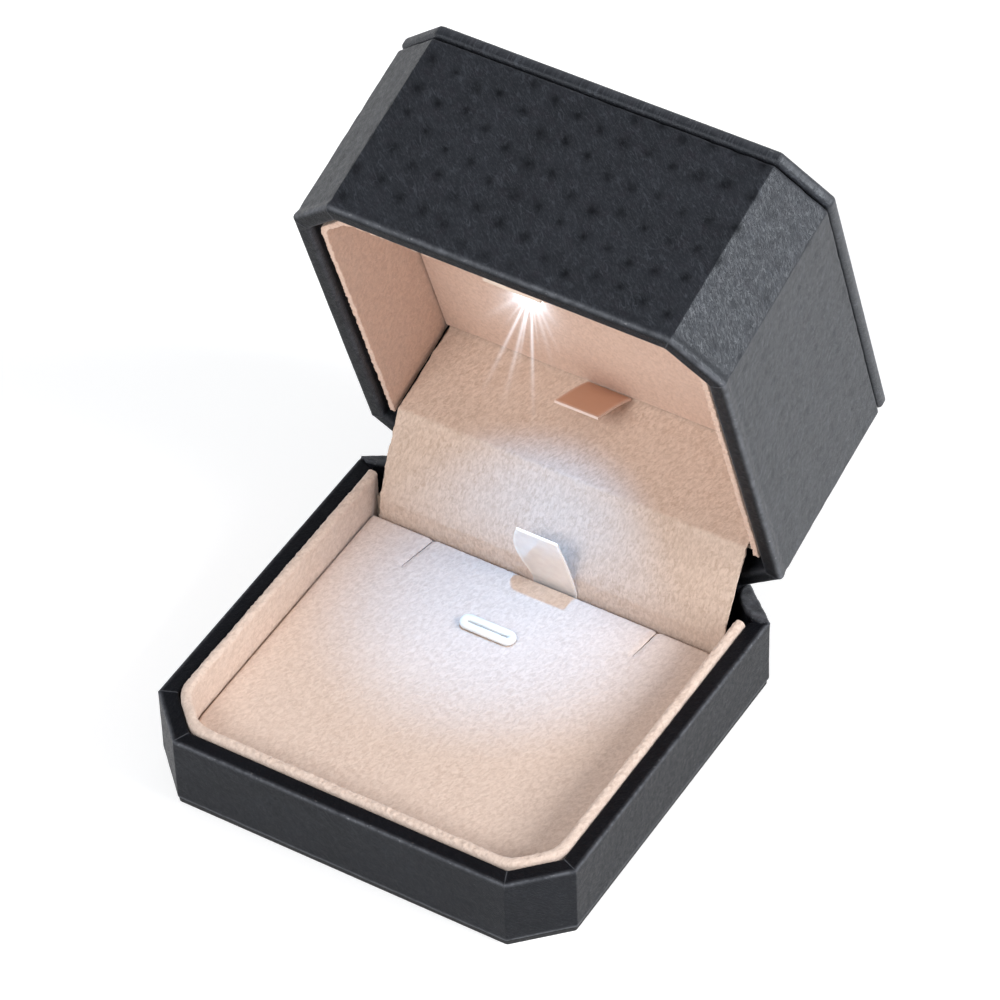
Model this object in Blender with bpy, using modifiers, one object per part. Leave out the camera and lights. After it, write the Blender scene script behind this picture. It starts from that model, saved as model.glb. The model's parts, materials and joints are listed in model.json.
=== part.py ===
"""A hinged ring box with a lamp in its lid, standing open.

Frame: X to the right, Y to the back, Z up, origin at the centre of the underside.
The lid's parts are modelled in the shut position and hang on an empty on the hinge
axis, which turns them to the open position.
"""

import math

import bmesh
import bpy
from mathutils import Matrix, Vector

MM = 0.001

# Driving dimensions
WIDTH = 90.0 * MM
HEIGHT = 60.0 * MM
CORNER_LEG = 9.4 * MM
BASE_RIM_Z = 16.6 * MM
SEAM_GAP = 0.3 * MM
HINGE_Y = 42.5 * MM
HINGE_Z = 17.9 * MM
OPEN_ANGLE = math.radians(72.5)
PAD_TOP_Z = 9.0 * MM
CEILING_Z = 38.0 * MM
CURTAIN_Y = 30.5 * MM
LINING_RADIUS = 6.5 * MM
BASE_CARD_Z = 12.6 * MM

# Sheet and wall thicknesses
GAP = 0.3 * MM
LEATHER = 0.6 * MM
FOLD_RADIUS = 0.7 * MM
WALL = 1.7 * MM
LID_WALL = 1.5 * MM
FLOOR = 1.5 * MM
CLOTH = 0.5 * MM
CARD = 1.2 * MM
BOARD = 1.0 * MM

# Heights that follow
FOOT_Z = 1.2 * MM
BOTTOM_BOARD = FOOT_Z - GAP
BASE_SHELL_Z = FOOT_Z + LEATHER + GAP
BASE_FLOOR_Z = BASE_SHELL_Z + FLOOR
INSERT_Z = BASE_FLOOR_Z + GAP
PAD_Z = INSERT_Z + BOARD + GAP
LID_RIM_Z = BASE_RIM_Z + SEAM_GAP
TOP_BOARD_HEIGHT = 2.8 * MM
TOP_COVER_Z = HEIGHT - TOP_BOARD_HEIGHT
LID_WRAP_TOP = TOP_COVER_Z - GAP
LID_SHELL_TOP = LID_WRAP_TOP - LEATHER - GAP
LID_ROOF = 2.0 * MM
LID_ROOF_Z = LID_SHELL_TOP - LID_ROOF

# Insets from the outer walls
SHELL_INSET = LEATHER + GAP
BASE_RIM_WIDTH = SHELL_INSET + WALL + GAP + LEATHER
LID_RIM_WIDTH = SHELL_INSET + LID_WALL + GAP + LEATHER
LINER_INSET = BASE_RIM_WIDTH + GAP
LINER = 1.8 * MM
LID_LINER_INSET = 4.6 * MM
LID_LINER = 1.2 * MM
PAD_INSET = LINER_INSET + LINER + GAP
CEILING_INSET = LID_LINER_INSET + LID_LINER + GAP
TURN_IN = 8.0 * MM

# The rear rim of the base slopes down, to leave room for the lid's rear wall
SLOPE_START_Y = WIDTH / 2 - CORNER_LEG
SLOPE_DROP = 3.4 * MM

# Hinge
KNUCKLE_RADIUS = 1.5 * MM
BORE_RADIUS = 0.95 * MM
PIN_RADIUS = 0.88 * MM
HINGE_HALF = 18.0 * MM
LEAF_FRONT_Y = 40.7 * MM
LEAF = 0.5 * MM
LEAF_HEIGHT = 13.0 * MM
LEAF_RELIEF = 1.9 * MM
RIVET_DROP = 10.0 * MM
RIVET_X = 14.0 * MM
RIVET_RADIUS = 0.9 * MM
RIVET_HOLE = 1.2 * MM
BASE_KNUCKLES = ((-18.0, -13.0), (-3.5, 3.5), (13.0, 18.0))
LID_KNUCKLES = ((-12.7, -9.2), (9.2, 12.7))
SPRING_WIRE = 0.2 * MM
SPRING_RADIUS = 1.35 * MM
SPRING_TURNS = 5
SPRING_START = 4.3 * MM
SPRING_LENGTH = 4.1 * MM

# Ring slot in the pad
SLOT_X = -3.45 * MM
SLOT_Y = 13.6 * MM

# Lamp unit
LAMP_Z = 22.6 * MM
CELL_RADIUS = 10.0 * MM
CELL_THICKNESS = 3.2 * MM
CELL_X = 11.0 * MM
HOLDER_Z = 47.7 * MM
SWITCH_X = 28.0 * MM
SWITCH_Y = 36.3 * MM

ROUND_STEPS = 24
OUTLINE_STEPS = 2
COIL_STEPS = 9
SHARP_EDGE = math.radians(40.0)

HALF = WIDTH / 2
HINGE = Vector((0.0, HINGE_Y, HINGE_Z))
FAR = 100.0 * MM


# ---------------------------------------------------------------- scene and helpers


def clear_scene():
    for obj in list(bpy.data.objects):
        bpy.data.objects.remove(obj)


def new_collection(name):
    found = bpy.data.collections.new(name)
    bpy.context.scene.collection.children.link(found)
    return found


def make_material(name, colour, roughness, metallic=0.0, alpha=1.0):
    found = bpy.data.materials.new(name)
    found.use_nodes = True
    shader = found.node_tree.nodes["Principled BSDF"]
    shader.inputs["Base Color"].default_value = (*colour, 1.0)
    shader.inputs["Roughness"].default_value = roughness
    shader.inputs["Metallic"].default_value = metallic
    shader.inputs["Alpha"].default_value = alpha
    return found


def place(obj, in_lid, at=(0, 0, 0), turn=(0, 0, 0)):
    """Puts an object at a point of the base's frame, or of the shut lid's frame."""
    obj.rotation_euler = turn
    obj.location = Vector(at)
    if in_lid:
        obj.parent = lid_axis
        obj.location = Vector(at) - HINGE
    return obj


def mesh_object(name, mesh, in_lid=False):
    obj = bpy.data.objects.new(name, mesh)
    cutters.objects.link(obj)
    obj.hide_render = True
    obj.display_type = "WIRE"
    return place(obj, in_lid)


def finish(obj, colour, roughness, metallic=0.0, alpha=1.0):
    """Makes a worked shape a visible part with its own material."""
    cutters.objects.unlink(obj)
    parts.objects.link(obj)
    obj.hide_render = False
    obj.display_type = "TEXTURED"
    obj.data.materials.append(make_material(obj.name, colour, roughness, metallic, alpha))
    return obj


def boolean(obj, other, operation):
    modifier = obj.modifiers.new(operation.lower() + "_" + other.name, "BOOLEAN")
    modifier.operation = operation
    modifier.object = other
    modifier.solver = "EXACT"
    return obj


def cut(obj, *others):
    for other in others:
        boolean(obj, other, "DIFFERENCE")
    return obj


def join(obj, *others):
    for other in others:
        boolean(obj, other, "UNION")
    return obj


def block(name, x, y, z, in_lid=False):
    """A box between three pairs of limits."""
    shape = bmesh.new()
    size = Vector((x[1] - x[0], y[1] - y[0], z[1] - z[0]))
    centre = Vector((x[0] + x[1], y[0] + y[1], z[0] + z[1])) / 2
    matrix = Matrix.Translation(centre) @ Matrix.Diagonal((*size, 1.0))
    bmesh.ops.create_cube(shape, size=1.0, matrix=matrix)
    mesh = bpy.data.meshes.new(name)
    shape.to_mesh(mesh)
    shape.free()
    return mesh_object(name, mesh, in_lid)


def shade_round(mesh):
    """Shades curved faces smooth and leaves the real edges sharp."""
    mesh.shade_smooth()
    mesh.set_sharp_from_angle(angle=SHARP_EDGE)


def rod(name, radius, start, end, in_lid=False, steps=ROUND_STEPS):
    """A cylinder between two points."""
    start = Vector(start)
    way = Vector(end) - start
    turn = way.to_track_quat("Z", "Y").to_matrix().to_4x4()
    matrix = Matrix.Translation(start + way / 2) @ turn
    shape = bmesh.new()
    bmesh.ops.create_cone(
        shape,
        cap_ends=True,
        segments=steps,
        radius1=radius,
        radius2=radius,
        depth=way.length,
        matrix=matrix,
    )
    mesh = bpy.data.meshes.new(name)
    shape.to_mesh(mesh)
    shape.free()
    shade_round(mesh)
    return mesh_object(name, mesh, in_lid)


def rounded(corners, radius, steps=3):
    """The corners of a polygon, each replaced by an arc."""
    points = []
    for index, corner in enumerate(corners):
        corner = Vector(corner)
        before = (Vector(corners[index - 1]) - corner).normalized()
        after = (Vector(corners[(index + 1) % len(corners)]) - corner).normalized()
        half_angle = before.angle(after) / 2
        inward = (before + after).normalized()
        centre = corner + inward * radius / math.sin(half_angle)
        first = (corner + before * radius / math.tan(half_angle) - centre).normalized()
        last = (corner + after * radius / math.tan(half_angle) - centre).normalized()
        for step in range(steps + 1):
            points.append(centre + first.slerp(last, step / steps) * radius)
    return points


def octagon(inset, radius=0.8 * MM, rear=None):
    """The box's outline, moved inwards, with its rear cut off at a given Y if asked."""
    half = HALF - inset
    leg = CORNER_LEG - inset * (2 - math.sqrt(2))
    near = half - leg
    corners = [(-near, -half), (near, -half), (half, -near)]
    if rear is None:
        corners += [(half, near), (near, half), (-near, half), (-half, near)]
    else:
        corners += [(half, rear), (-half, rear)]
    corners.append((-half, -near))
    return rounded(corners, min(radius, 0.9 * leg), OUTLINE_STEPS)


def stadium(length, width, steps=8):
    """A slot shape with round ends, its long axis along X."""
    radius = width / 2
    reach = length / 2 - radius
    points = []
    for side in (1, -1):
        for step in range(steps + 1):
            angle = math.pi * (step / steps - 0.5)
            across = side * (reach + radius * math.cos(angle))
            points.append((across, side * radius * math.sin(angle)))
    return points


PLANES = {
    "XY": Matrix.Identity(4),
    "YZ": Matrix(((0, 0, 1, 0), (1, 0, 0, 0), (0, 1, 0, 0), (0, 0, 0, 1))),
}


def prism(name, outlines, low, high, in_lid=False, plane="XY", at=(0, 0)):
    """A flat outline, with a hole where a second outline is given, made thick."""
    curve = bpy.data.curves.new(name, "CURVE")
    curve.dimensions = "2D"
    curve.fill_mode = "BOTH"
    curve.extrude = (high - low) / 2
    for outline in outlines:
        spline = curve.splines.new("POLY")
        spline.points.add(len(outline) - 1)
        for point, place_2d in zip(spline.points, outline):
            point.co = (place_2d[0] + at[0], place_2d[1] + at[1], 0.0, 1.0)
        spline.use_cyclic_u = True
    flat = bpy.data.objects.new(name + "_outline", curve)
    cutters.objects.link(flat)
    bpy.context.view_layer.update()
    graph = bpy.context.evaluated_depsgraph_get()
    mesh = bpy.data.meshes.new_from_object(flat.evaluated_get(graph))
    bpy.data.objects.remove(flat)
    shape = bmesh.new()
    shape.from_mesh(mesh)
    bmesh.ops.remove_doubles(shape, verts=shape.verts, dist=0.001 * MM)
    bmesh.ops.recalc_face_normals(shape, faces=shape.faces)
    shape.to_mesh(mesh)
    shape.free()
    mesh.transform(PLANES[plane] @ Matrix.Translation((0, 0, (low + high) / 2)))
    mesh.name = name
    return mesh_object(name, mesh, in_lid)


def turned(name, profile, at, direction, in_lid=False):
    """A turned shape: radius and height pairs from the top down, about a given axis."""
    mesh = bpy.data.meshes.new(name)
    points = [(radius, 0.0, height) for radius, height in profile]
    edges = [(index, index + 1) for index in range(len(points) - 1)]
    mesh.from_pydata(points, edges, [])
    obj = mesh_object(name, mesh)
    screw = obj.modifiers.new("turn", "SCREW")
    screw.steps = ROUND_STEPS
    screw.render_steps = ROUND_STEPS
    screw.use_merge_vertices = True
    screw.merge_threshold = 0.01 * MM
    graph = bpy.context.evaluated_depsgraph_get()
    obj.data = bpy.data.meshes.new_from_object(obj.evaluated_get(graph))
    obj.modifiers.clear()
    shade_round(obj.data)
    turn = Vector(direction).to_track_quat("Z", "Y").to_euler()
    return place(obj, in_lid, at, turn)


def wire(name, points, radius, in_lid=False):
    """A round wire along a chain of points."""
    curve = bpy.data.curves.new(name, "CURVE")
    curve.dimensions = "3D"
    curve.bevel_depth = radius
    curve.bevel_resolution = 2
    curve.use_fill_caps = True
    spline = curve.splines.new("POLY")
    spline.points.add(len(points) - 1)
    for point, position in zip(spline.points, points):
        point.co = (*position, 1.0)
    return mesh_object(name, curve, in_lid)


def sheet(name, rows, thickness, in_lid=False):
    """A thin sheet through rows of points, thickened equally to both sides."""
    shape = bmesh.new()
    grid = [[shape.verts.new(point) for point in row] for row in rows]
    for lower, upper in zip(grid, grid[1:]):
        for index in range(len(lower) - 1):
            corners = (lower[index], lower[index + 1], upper[index + 1], upper[index])
            shape.faces.new(corners)
    mesh = bpy.data.meshes.new(name)
    shape.to_mesh(mesh)
    shape.free()
    shade_round(mesh)
    obj = mesh_object(name, mesh, in_lid)
    thick = obj.modifiers.new("thickness", "SOLIDIFY")
    thick.thickness = thickness
    thick.offset = 0.0
    thick.use_even_offset = True
    return obj


def wrapped_sheet(name, profile, height_of, thickness, in_lid=False):
    """A sheet that runs round the box, through (inset, height) pairs, thickened inwards."""
    shape = bmesh.new()
    rings = []
    for inset, height in profile:
        outline = octagon(inset)
        rings.append([shape.verts.new((x, y, height_of(y, height))) for x, y in outline])
    for lower, upper in zip(rings, rings[1:]):
        for index in range(len(lower)):
            following = (index + 1) % len(lower)
            corners = (lower[index], lower[following], upper[following], upper[index])
            shape.faces.new(corners)
    mesh = bpy.data.meshes.new(name)
    shape.to_mesh(mesh)
    shape.free()
    obj = mesh_object(name, mesh, in_lid)
    thick = obj.modifiers.new("thickness", "SOLIDIFY")
    thick.thickness = thickness
    thick.offset = -1.0
    thick.use_even_offset = True
    return obj


def bent(points, radius, steps=2):
    """An open section of (inset, height) pairs with its inner corners rounded."""
    path = [Vector(points[0])]
    for before, corner, after in zip(points, points[1:], points[2:]):
        arcs = rounded([before, corner, after], radius, steps)
        path += arcs[steps + 1 : 2 * steps + 2]
    path.append(Vector(points[-1]))
    return path


def opened(y, z):
    """Where a point of the shut lid is when the lid stands open."""
    across = y - HINGE_Y
    above = z - HINGE_Z
    cosine = math.cos(OPEN_ANGLE)
    sine = math.sin(OPEN_ANGLE)
    return (
        HINGE_Y + across * cosine + above * sine,
        HINGE_Z - across * sine + above * cosine,
    )


def bezier(start, start_pull, end_pull, end, steps):
    """Points along a cubic curve in a plane, without its first point."""
    points = []
    for step in range(1, steps + 1):
        t = step / steps
        weights = ((1 - t) ** 3, 3 * t * (1 - t) ** 2, 3 * t * t * (1 - t), t**3)
        anchors = (start, start_pull, end_pull, end)
        y = sum(w * p[0] for w, p in zip(weights, anchors))
        z = sum(w * p[1] for w, p in zip(weights, anchors))
        points.append((y, z))
    return points


def rear_slope(name, lowered):
    """Everything above the sloping rear rim, moved down by a given amount."""
    top = BASE_RIM_Z - lowered
    fall = SLOPE_DROP / (HALF - SLOPE_START_Y)
    end_y = HALF + 15.0 * MM
    end_z = top - fall * (end_y - SLOPE_START_Y)
    profile = [(SLOPE_START_Y, top), (end_y, end_z), (end_y, FAR), (SLOPE_START_Y, FAR)]
    return prism(name, [profile], -FAR, FAR, plane="YZ")


def rivet_holes(name, height, in_lid):
    """Two cutters along Y through a rear wall and its hinge leaf."""
    found = []
    for side, x in (("left", -RIVET_X), ("right", RIVET_X)):
        start = (x, HINGE_Y - 5.0 * MM, height)
        end = (x, HALF - LEATHER - 0.1 * MM, height)
        found.append(rod(f"{name}_{side}", RIVET_HOLE, start, end, in_lid))
    return found


# ---------------------------------------------------------------- base


def base_shell():
    shell = prism("base_shell", [octagon(SHELL_INSET)], BASE_SHELL_Z, BASE_RIM_Z - SHELL_INSET)
    hollow = prism("base_hollow", [octagon(SHELL_INSET + WALL)], BASE_FLOOR_Z, FAR)
    cut(shell, hollow, rear_slope("slope_for_shell", SHELL_INSET))
    cut(shell, *rivet_holes("base_rivet_hole", HINGE_Z - RIVET_DROP, False))
    finish(shell, (0.05, 0.05, 0.055), 0.5)


def rim_fall(y):
    """How far the base's rim has dropped at a given Y."""
    return max(0.0, y - SLOPE_START_Y) * SLOPE_DROP / (HALF - SLOPE_START_Y)


def base_wrap():
    """Leather from under the shell, up the walls, over the rim and down inside."""
    inner_edge_z = 9.6 * MM
    section = [
        (TURN_IN, FOOT_Z),
        (0.0, FOOT_Z),
        (0.0, BASE_RIM_Z),
        (BASE_RIM_WIDTH, BASE_RIM_Z),
        (BASE_RIM_WIDTH, inner_edge_z),
    ]

    def height_of(y, height):
        near_rim = height > BASE_RIM_Z - LEATHER - GAP
        return height - rim_fall(y) if near_rim else height

    wrap = wrapped_sheet("base_wrap", bent(section, FOLD_RADIUS), height_of, LEATHER)
    finish(wrap, (0.035, 0.037, 0.042), 0.45)


def bottom_board():
    board = prism("bottom_board", [octagon(0.4 * MM)], 0.0, BOTTOM_BOARD)
    finish(board, (0.03, 0.03, 0.033), 0.8)


def base_liner():
    """A velvet-covered strip round the left, front and right walls."""
    ring = [octagon(LINER_INSET, LINING_RADIUS), octagon(LINER_INSET + LINER, LINING_RADIUS)]
    liner = prism("base_liner", ring, INSERT_Z, BASE_RIM_Z + 1.0 * MM)
    cut(liner, block("base_liner_end", (-FAR, FAR), (32.5 * MM, FAR), (-FAR, FAR)))
    finish(liner, (0.80, 0.66, 0.54), 0.9)


def base_rear_card():
    card_y = CURTAIN_Y + CLOTH + GAP
    half = 38.9 * MM
    card_z = (INSERT_Z, BASE_CARD_Z)
    card = block("base_rear_card", (-half, half), (card_y, card_y + CARD), card_z)
    finish(card, (0.35, 0.30, 0.25), 0.9)


def curtain():
    """Velvet from the base's rear card across the hinge to the lid's rear card."""
    middle_y = CURTAIN_Y + CLOTH / 2
    base_end = (middle_y, BASE_CARD_Z + GAP)
    lid_end = opened(middle_y, 18.4 * MM)
    rise = math.radians(80.0)
    climb = math.radians(65.0)
    low_pull = 6.0 * MM
    high_pull = 5.0 * MM
    leave = (base_end[0] + low_pull * math.cos(rise), base_end[1] + low_pull * math.sin(rise))
    arrive = (lid_end[0] - high_pull * math.cos(climb), lid_end[1] - high_pull * math.sin(climb))
    path = [(middle_y, INSERT_Z), base_end]
    path += bezier(base_end, leave, arrive, lid_end, 8)
    path.append(opened(middle_y, CEILING_Z - 2 * GAP))
    half = 38.3 * MM
    cloth = sheet("curtain", [[(-half, y, z), (half, y, z)] for y, z in path], CLOTH)
    finish(cloth, (0.80, 0.66, 0.54), 0.9)


def hinge_strip():
    """Leather across the rear gap, from the base's rim to the lid's."""
    path = [(44.5 * MM, 13.95 * MM), (43.7 * MM, 14.6 * MM), (42.75 * MM, 14.95 * MM)]
    half = 35.0 * MM
    strip = sheet("hinge_strip", [[(-half, y, z), (half, y, z)] for y, z in path], 0.35 * MM)
    finish(strip, (0.03, 0.031, 0.035), 0.5)


def switch_striker():
    """A post on the base's floor that pushes the lamp switch when the lid shuts."""
    foot_x = (SWITCH_X - 4.5 * MM, SWITCH_X + 4.5 * MM)
    foot = block("switch_striker", foot_x, (33.5 * MM, 39.5 * MM), (INSERT_Z, 5.4 * MM))
    post_x = (SWITCH_X - 2.0 * MM, SWITCH_X + 2.0 * MM)
    post_y = (SWITCH_Y - 2.0 * MM, SWITCH_Y + 2.0 * MM)
    join(foot, block("striker_post", post_x, post_y, (5.0 * MM, 17.2 * MM)))
    finish(foot, (0.06, 0.06, 0.06), 0.5)


# ---------------------------------------------------------------- removable insert


def pad_slit(name, rear, front):
    """A narrow cutter along a line in the pad, from its rear edge forwards."""
    start = Vector((rear[0], rear[1], 0.0)) * MM
    end = Vector((front[0], front[1], 0.0)) * MM
    way = end - start
    half_width = 0.25 * MM
    slit = block(name, (0, way.length), (-half_width, half_width), (0, 20.0 * MM))
    slit.location = start
    slit.rotation_euler = (0, 0, math.atan2(way.y, way.x))
    return slit


def insert_pad():
    pad_rear = CURTAIN_Y - 0.8 * MM
    outline = octagon(PAD_INSET, LINING_RADIUS, pad_rear)
    slot_at = (SLOT_X, SLOT_Y)
    hole = prism("slot_hole", [stadium(11.4 * MM, 2.9 * MM)], 0.0, FAR, at=slot_at)

    pad = prism("pad", [outline], PAD_Z, PAD_TOP_Z)
    left = pad_slit("left_slit", (-24.9, 31.0), (-27.0, 20.5))
    right = pad_slit("right_slit", (24.4, 31.0), (23.2, 21.8))
    cut(pad, hole, left, right)
    finish(pad, (0.82, 0.69, 0.58), 0.9)

    board = prism("pad_board", [outline], INSERT_Z, INSERT_Z + BOARD)
    cut(board, hole)
    finish(board, (0.45, 0.38, 0.30), 0.9)


def slot_insert():
    """A slotted plastic ring that holds the shank of a ring."""
    at = (SLOT_X, SLOT_Y)
    flange_z = PAD_TOP_Z + GAP
    insert = prism("slot_insert", [stadium(12.0 * MM, 3.5 * MM)], flange_z, flange_z + LEATHER, at=at)
    stem = prism("slot_stem", [stadium(10.8 * MM, 2.3 * MM)], INSERT_Z, flange_z + GAP, at=at)
    opening = prism("slot_opening", [stadium(9.2 * MM, 0.6 * MM)], 0.0, FAR, at=at)
    cut(join(insert, stem), opening)
    finish(insert, (0.85, 0.85, 0.84), 0.35)


def pad_tab():
    """A clear tab that stands up from the rear edge of the pad, to lift it out by."""
    foot_z = PAD_Z
    bend_z = PAD_TOP_Z + 0.5 * MM
    tip_z = 26.7 * MM
    tab_y = CURTAIN_Y - 0.4 * MM
    lean = 5.0 * MM
    rows = [[(-3.2 * MM, tab_y, foot_z), (6.2 * MM, tab_y, foot_z)]]
    steps = 12
    for step in range(steps + 1):
        t = step / steps
        z = bend_z + (tip_z - bend_z) * t
        y = tab_y - lean * t**1.2
        left = (-3.2 - 2.4 * math.sin(math.pi * t) - 0.4 * t) * MM
        right = (6.2 - 0.9 * t) * MM
        rows.append([(left, y, z), (right, y, z)])
    tab = sheet("pad_tab", rows, 0.3 * MM)
    finish(tab, (0.9, 0.92, 0.93), 0.1, alpha=0.3)


# ---------------------------------------------------------------- hinge


def hinge_leaf(name, knuckles, direction, in_lid):
    """A flat leaf with rolled knuckles, below the axis (-1) or above it (+1)."""

    def heights(near, far):
        return tuple(sorted((HINGE_Z + direction * near, HINGE_Z + direction * far)))

    leaf_y = (LEAF_FRONT_Y, LEAF_FRONT_Y + LEAF)
    leaf_z = heights(LEAF_RELIEF, LEAF_HEIGHT)
    leaf = block(name, (-HINGE_HALF, HINGE_HALF), leaf_y, leaf_z, in_lid)
    for index, (low, high) in enumerate(knuckles):
        x = (low * MM, high * MM)
        neck = block(f"{name}_neck_{index}", x, leaf_y, heights(0.0, LEAF_RELIEF + LEAF), in_lid)
        start = (x[0], HINGE_Y, HINGE_Z)
        end = (x[1], HINGE_Y, HINGE_Z)
        join(leaf, neck, rod(f"{name}_knuckle_{index}", KNUCKLE_RADIUS, start, end, in_lid))
    bore_ends = ((-FAR, HINGE_Y, HINGE_Z), (FAR, HINGE_Y, HINGE_Z))
    cut(leaf, rod(f"{name}_bore", BORE_RADIUS, *bore_ends, in_lid))
    cut(leaf, *rivet_holes(f"{name}_hole", HINGE_Z + direction * RIVET_DROP, in_lid))
    finish(leaf, (0.72, 0.70, 0.66), 0.3, 1.0)


def hinge_pin():
    reach = HINGE_HALF + GAP
    head = reach + LEAF
    head_radius = PIN_RADIUS + LEAF
    profile = [
        (0.0, head),
        (head_radius, head),
        (head_radius, reach),
        (PIN_RADIUS, reach),
        (PIN_RADIUS, -reach),
        (head_radius, -reach),
        (head_radius, -head),
        (0.0, -head),
    ]
    pin = turned("hinge_pin", profile, HINGE, (1, 0, 0))
    finish(pin, (0.75, 0.75, 0.76), 0.25, 1.0)


def rivet(name, x, height, in_lid):
    head = 0.7 * MM
    shank = 3.4 * MM
    head_radius = 1.7 * MM
    profile = [
        (0.0, head),
        (head_radius * 0.6, head),
        (head_radius, head * 0.3),
        (head_radius, 0.0),
        (RIVET_RADIUS, 0.0),
        (RIVET_RADIUS, -shank),
        (0.0, -shank),
    ]
    at = (x, LEAF_FRONT_Y - GAP, height)
    finish(turned(name, profile, at, (0, -1, 0), in_lid), (0.7, 0.68, 0.62), 0.3, 1.0)


def hinge_rivets():
    for side, x in (("left", -RIVET_X), ("right", RIVET_X)):
        rivet(f"base_rivet_{side}", x, HINGE_Z - RIVET_DROP, False)
        rivet(f"lid_rivet_{side}", x, HINGE_Z + RIVET_DROP, True)


def hinge_spring(name, side):
    """A torsion spring round the pin, with one leg on each leaf."""
    leg_y = LEAF_FRONT_Y - 2 * SPRING_WIRE
    leg_near = 1.7 * MM
    leg_far = 6.0 * MM
    start_x = side * SPRING_START
    end_x = side * (SPRING_START + SPRING_LENGTH)
    points = [
        (start_x, leg_y, HINGE_Z - leg_far),
        (start_x, leg_y, HINGE_Z - leg_near),
    ]
    sweep = OPEN_ANGLE + 2 * math.pi * SPRING_TURNS
    count = round(sweep / (2 * math.pi) * COIL_STEPS)
    for step in range(count + 1):
        t = step / count
        angle = math.pi - sweep * t
        x = start_x + (end_x - start_x) * t
        y = HINGE_Y + SPRING_RADIUS * math.cos(angle)
        z = HINGE_Z + SPRING_RADIUS * math.sin(angle)
        points.append((x, y, z))
    for reach in (leg_near, leg_far):
        y, z = opened(leg_y, HINGE_Z + reach)
        points.append((end_x, y, z))
    finish(wire(name, points, SPRING_WIRE), (0.6, 0.6, 0.6), 0.3, 1.0)


# ---------------------------------------------------------------- lid


def hinge_notch(name):
    """Room in the lid's rear wall for the hinge knuckles."""
    x = (-HINGE_HALF - LEAF_RELIEF, HINGE_HALF + LEAF_RELIEF)
    y = (HINGE_Y - 4.0 * MM, HINGE_Y + KNUCKLE_RADIUS + GAP)
    z = (0.0, HINGE_Z + KNUCKLE_RADIUS + 2 * GAP)
    return block(name, x, y, z, True)


def screw_holes(name, radius, low, high):
    found = []
    for side, y in (("front", -10.5 * MM), ("rear", 10.5 * MM)):
        found.append(rod(f"{name}_{side}", radius, (0, y, low), (0, y, high), True))
    return found


def lid_shell():
    low = LID_RIM_Z + SHELL_INSET
    shell = prism("lid_shell", [octagon(SHELL_INSET)], low, LID_SHELL_TOP, True)
    hollow = prism("lid_hollow", [octagon(SHELL_INSET + LID_WALL)], 0.0, LID_ROOF_Z, True)
    cut(shell, hollow, hinge_notch("notch_for_shell"))
    cut(shell, *rivet_holes("lid_rivet_hole", HINGE_Z + RIVET_DROP, True))
    cut(shell, *screw_holes("roof_screw_hole", 1.3 * MM, LID_ROOF_Z - MM, LID_SHELL_TOP - 0.2 * MM))
    finish(shell, (0.05, 0.05, 0.055), 0.5)


def lid_wrap():
    """Leather from inside the rim, round it, up the walls and in over the shell."""
    section = [
        (LID_RIM_WIDTH, 24.0 * MM),
        (LID_RIM_WIDTH, LID_RIM_Z),
        (0.0, LID_RIM_Z),
        (0.0, LID_WRAP_TOP),
        (TURN_IN, LID_WRAP_TOP),
    ]

    def height_of(y, height):
        return height

    wrap = wrapped_sheet("lid_wrap", bent(section, FOLD_RADIUS), height_of, LEATHER, True)
    cut(wrap, hinge_notch("notch_for_wrap"))
    finish(wrap, (0.035, 0.037, 0.042), 0.45)


def top_board():
    skin = 0.45 * MM
    cover = prism("top_cover", [octagon(-0.1 * MM)], TOP_COVER_Z, HEIGHT, True)
    room = prism("top_room", [octagon(skin)], TOP_COVER_Z + skin, HEIGHT - skin, True)
    window = prism("top_window", [octagon(TURN_IN)], 0.0, TOP_COVER_Z + 2 * skin, True)
    cut(cover, room, window)
    finish(cover, (0.035, 0.037, 0.042), 0.45)

    board_gap = 0.25 * MM
    low = TOP_COVER_Z + skin + board_gap
    high = HEIGHT - skin - board_gap
    board = prism("top_board", [octagon(skin + board_gap)], low, high, True)
    finish(board, (0.35, 0.30, 0.25), 0.9)


def lid_liner():
    radius = 4.0 * MM
    low = BASE_RIM_Z + 1.4 * MM
    ring = [octagon(LID_LINER_INSET, radius), octagon(LID_LINER_INSET + LID_LINER, radius)]
    liner = prism("lid_liner", ring, low, CEILING_Z + 2.0 * MM, True)
    rear = block("lid_liner_end", (-FAR, FAR), (32.0 * MM, FAR), (-FAR, FAR), True)
    front_y = -HALF + LID_LINER_INSET + LID_LINER / 2
    slot_y = (front_y - LID_LINER, front_y + LID_LINER)
    wires = block("wire_slot", (-3.2 * MM, 3.2 * MM), slot_y, (22.0 * MM, 23.2 * MM), True)
    cut(liner, rear, wires)
    finish(liner, (0.80, 0.66, 0.54), 0.9)


def lid_rear_card():
    card_y = CURTAIN_Y + CLOTH + GAP
    half = 38.5 * MM
    x = (-half, half)
    card = block("lid_rear_card", x, (card_y, card_y + CARD), (19.4 * MM, CEILING_Z - GAP), True)
    finish(card, (0.35, 0.30, 0.25), 0.9)


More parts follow.
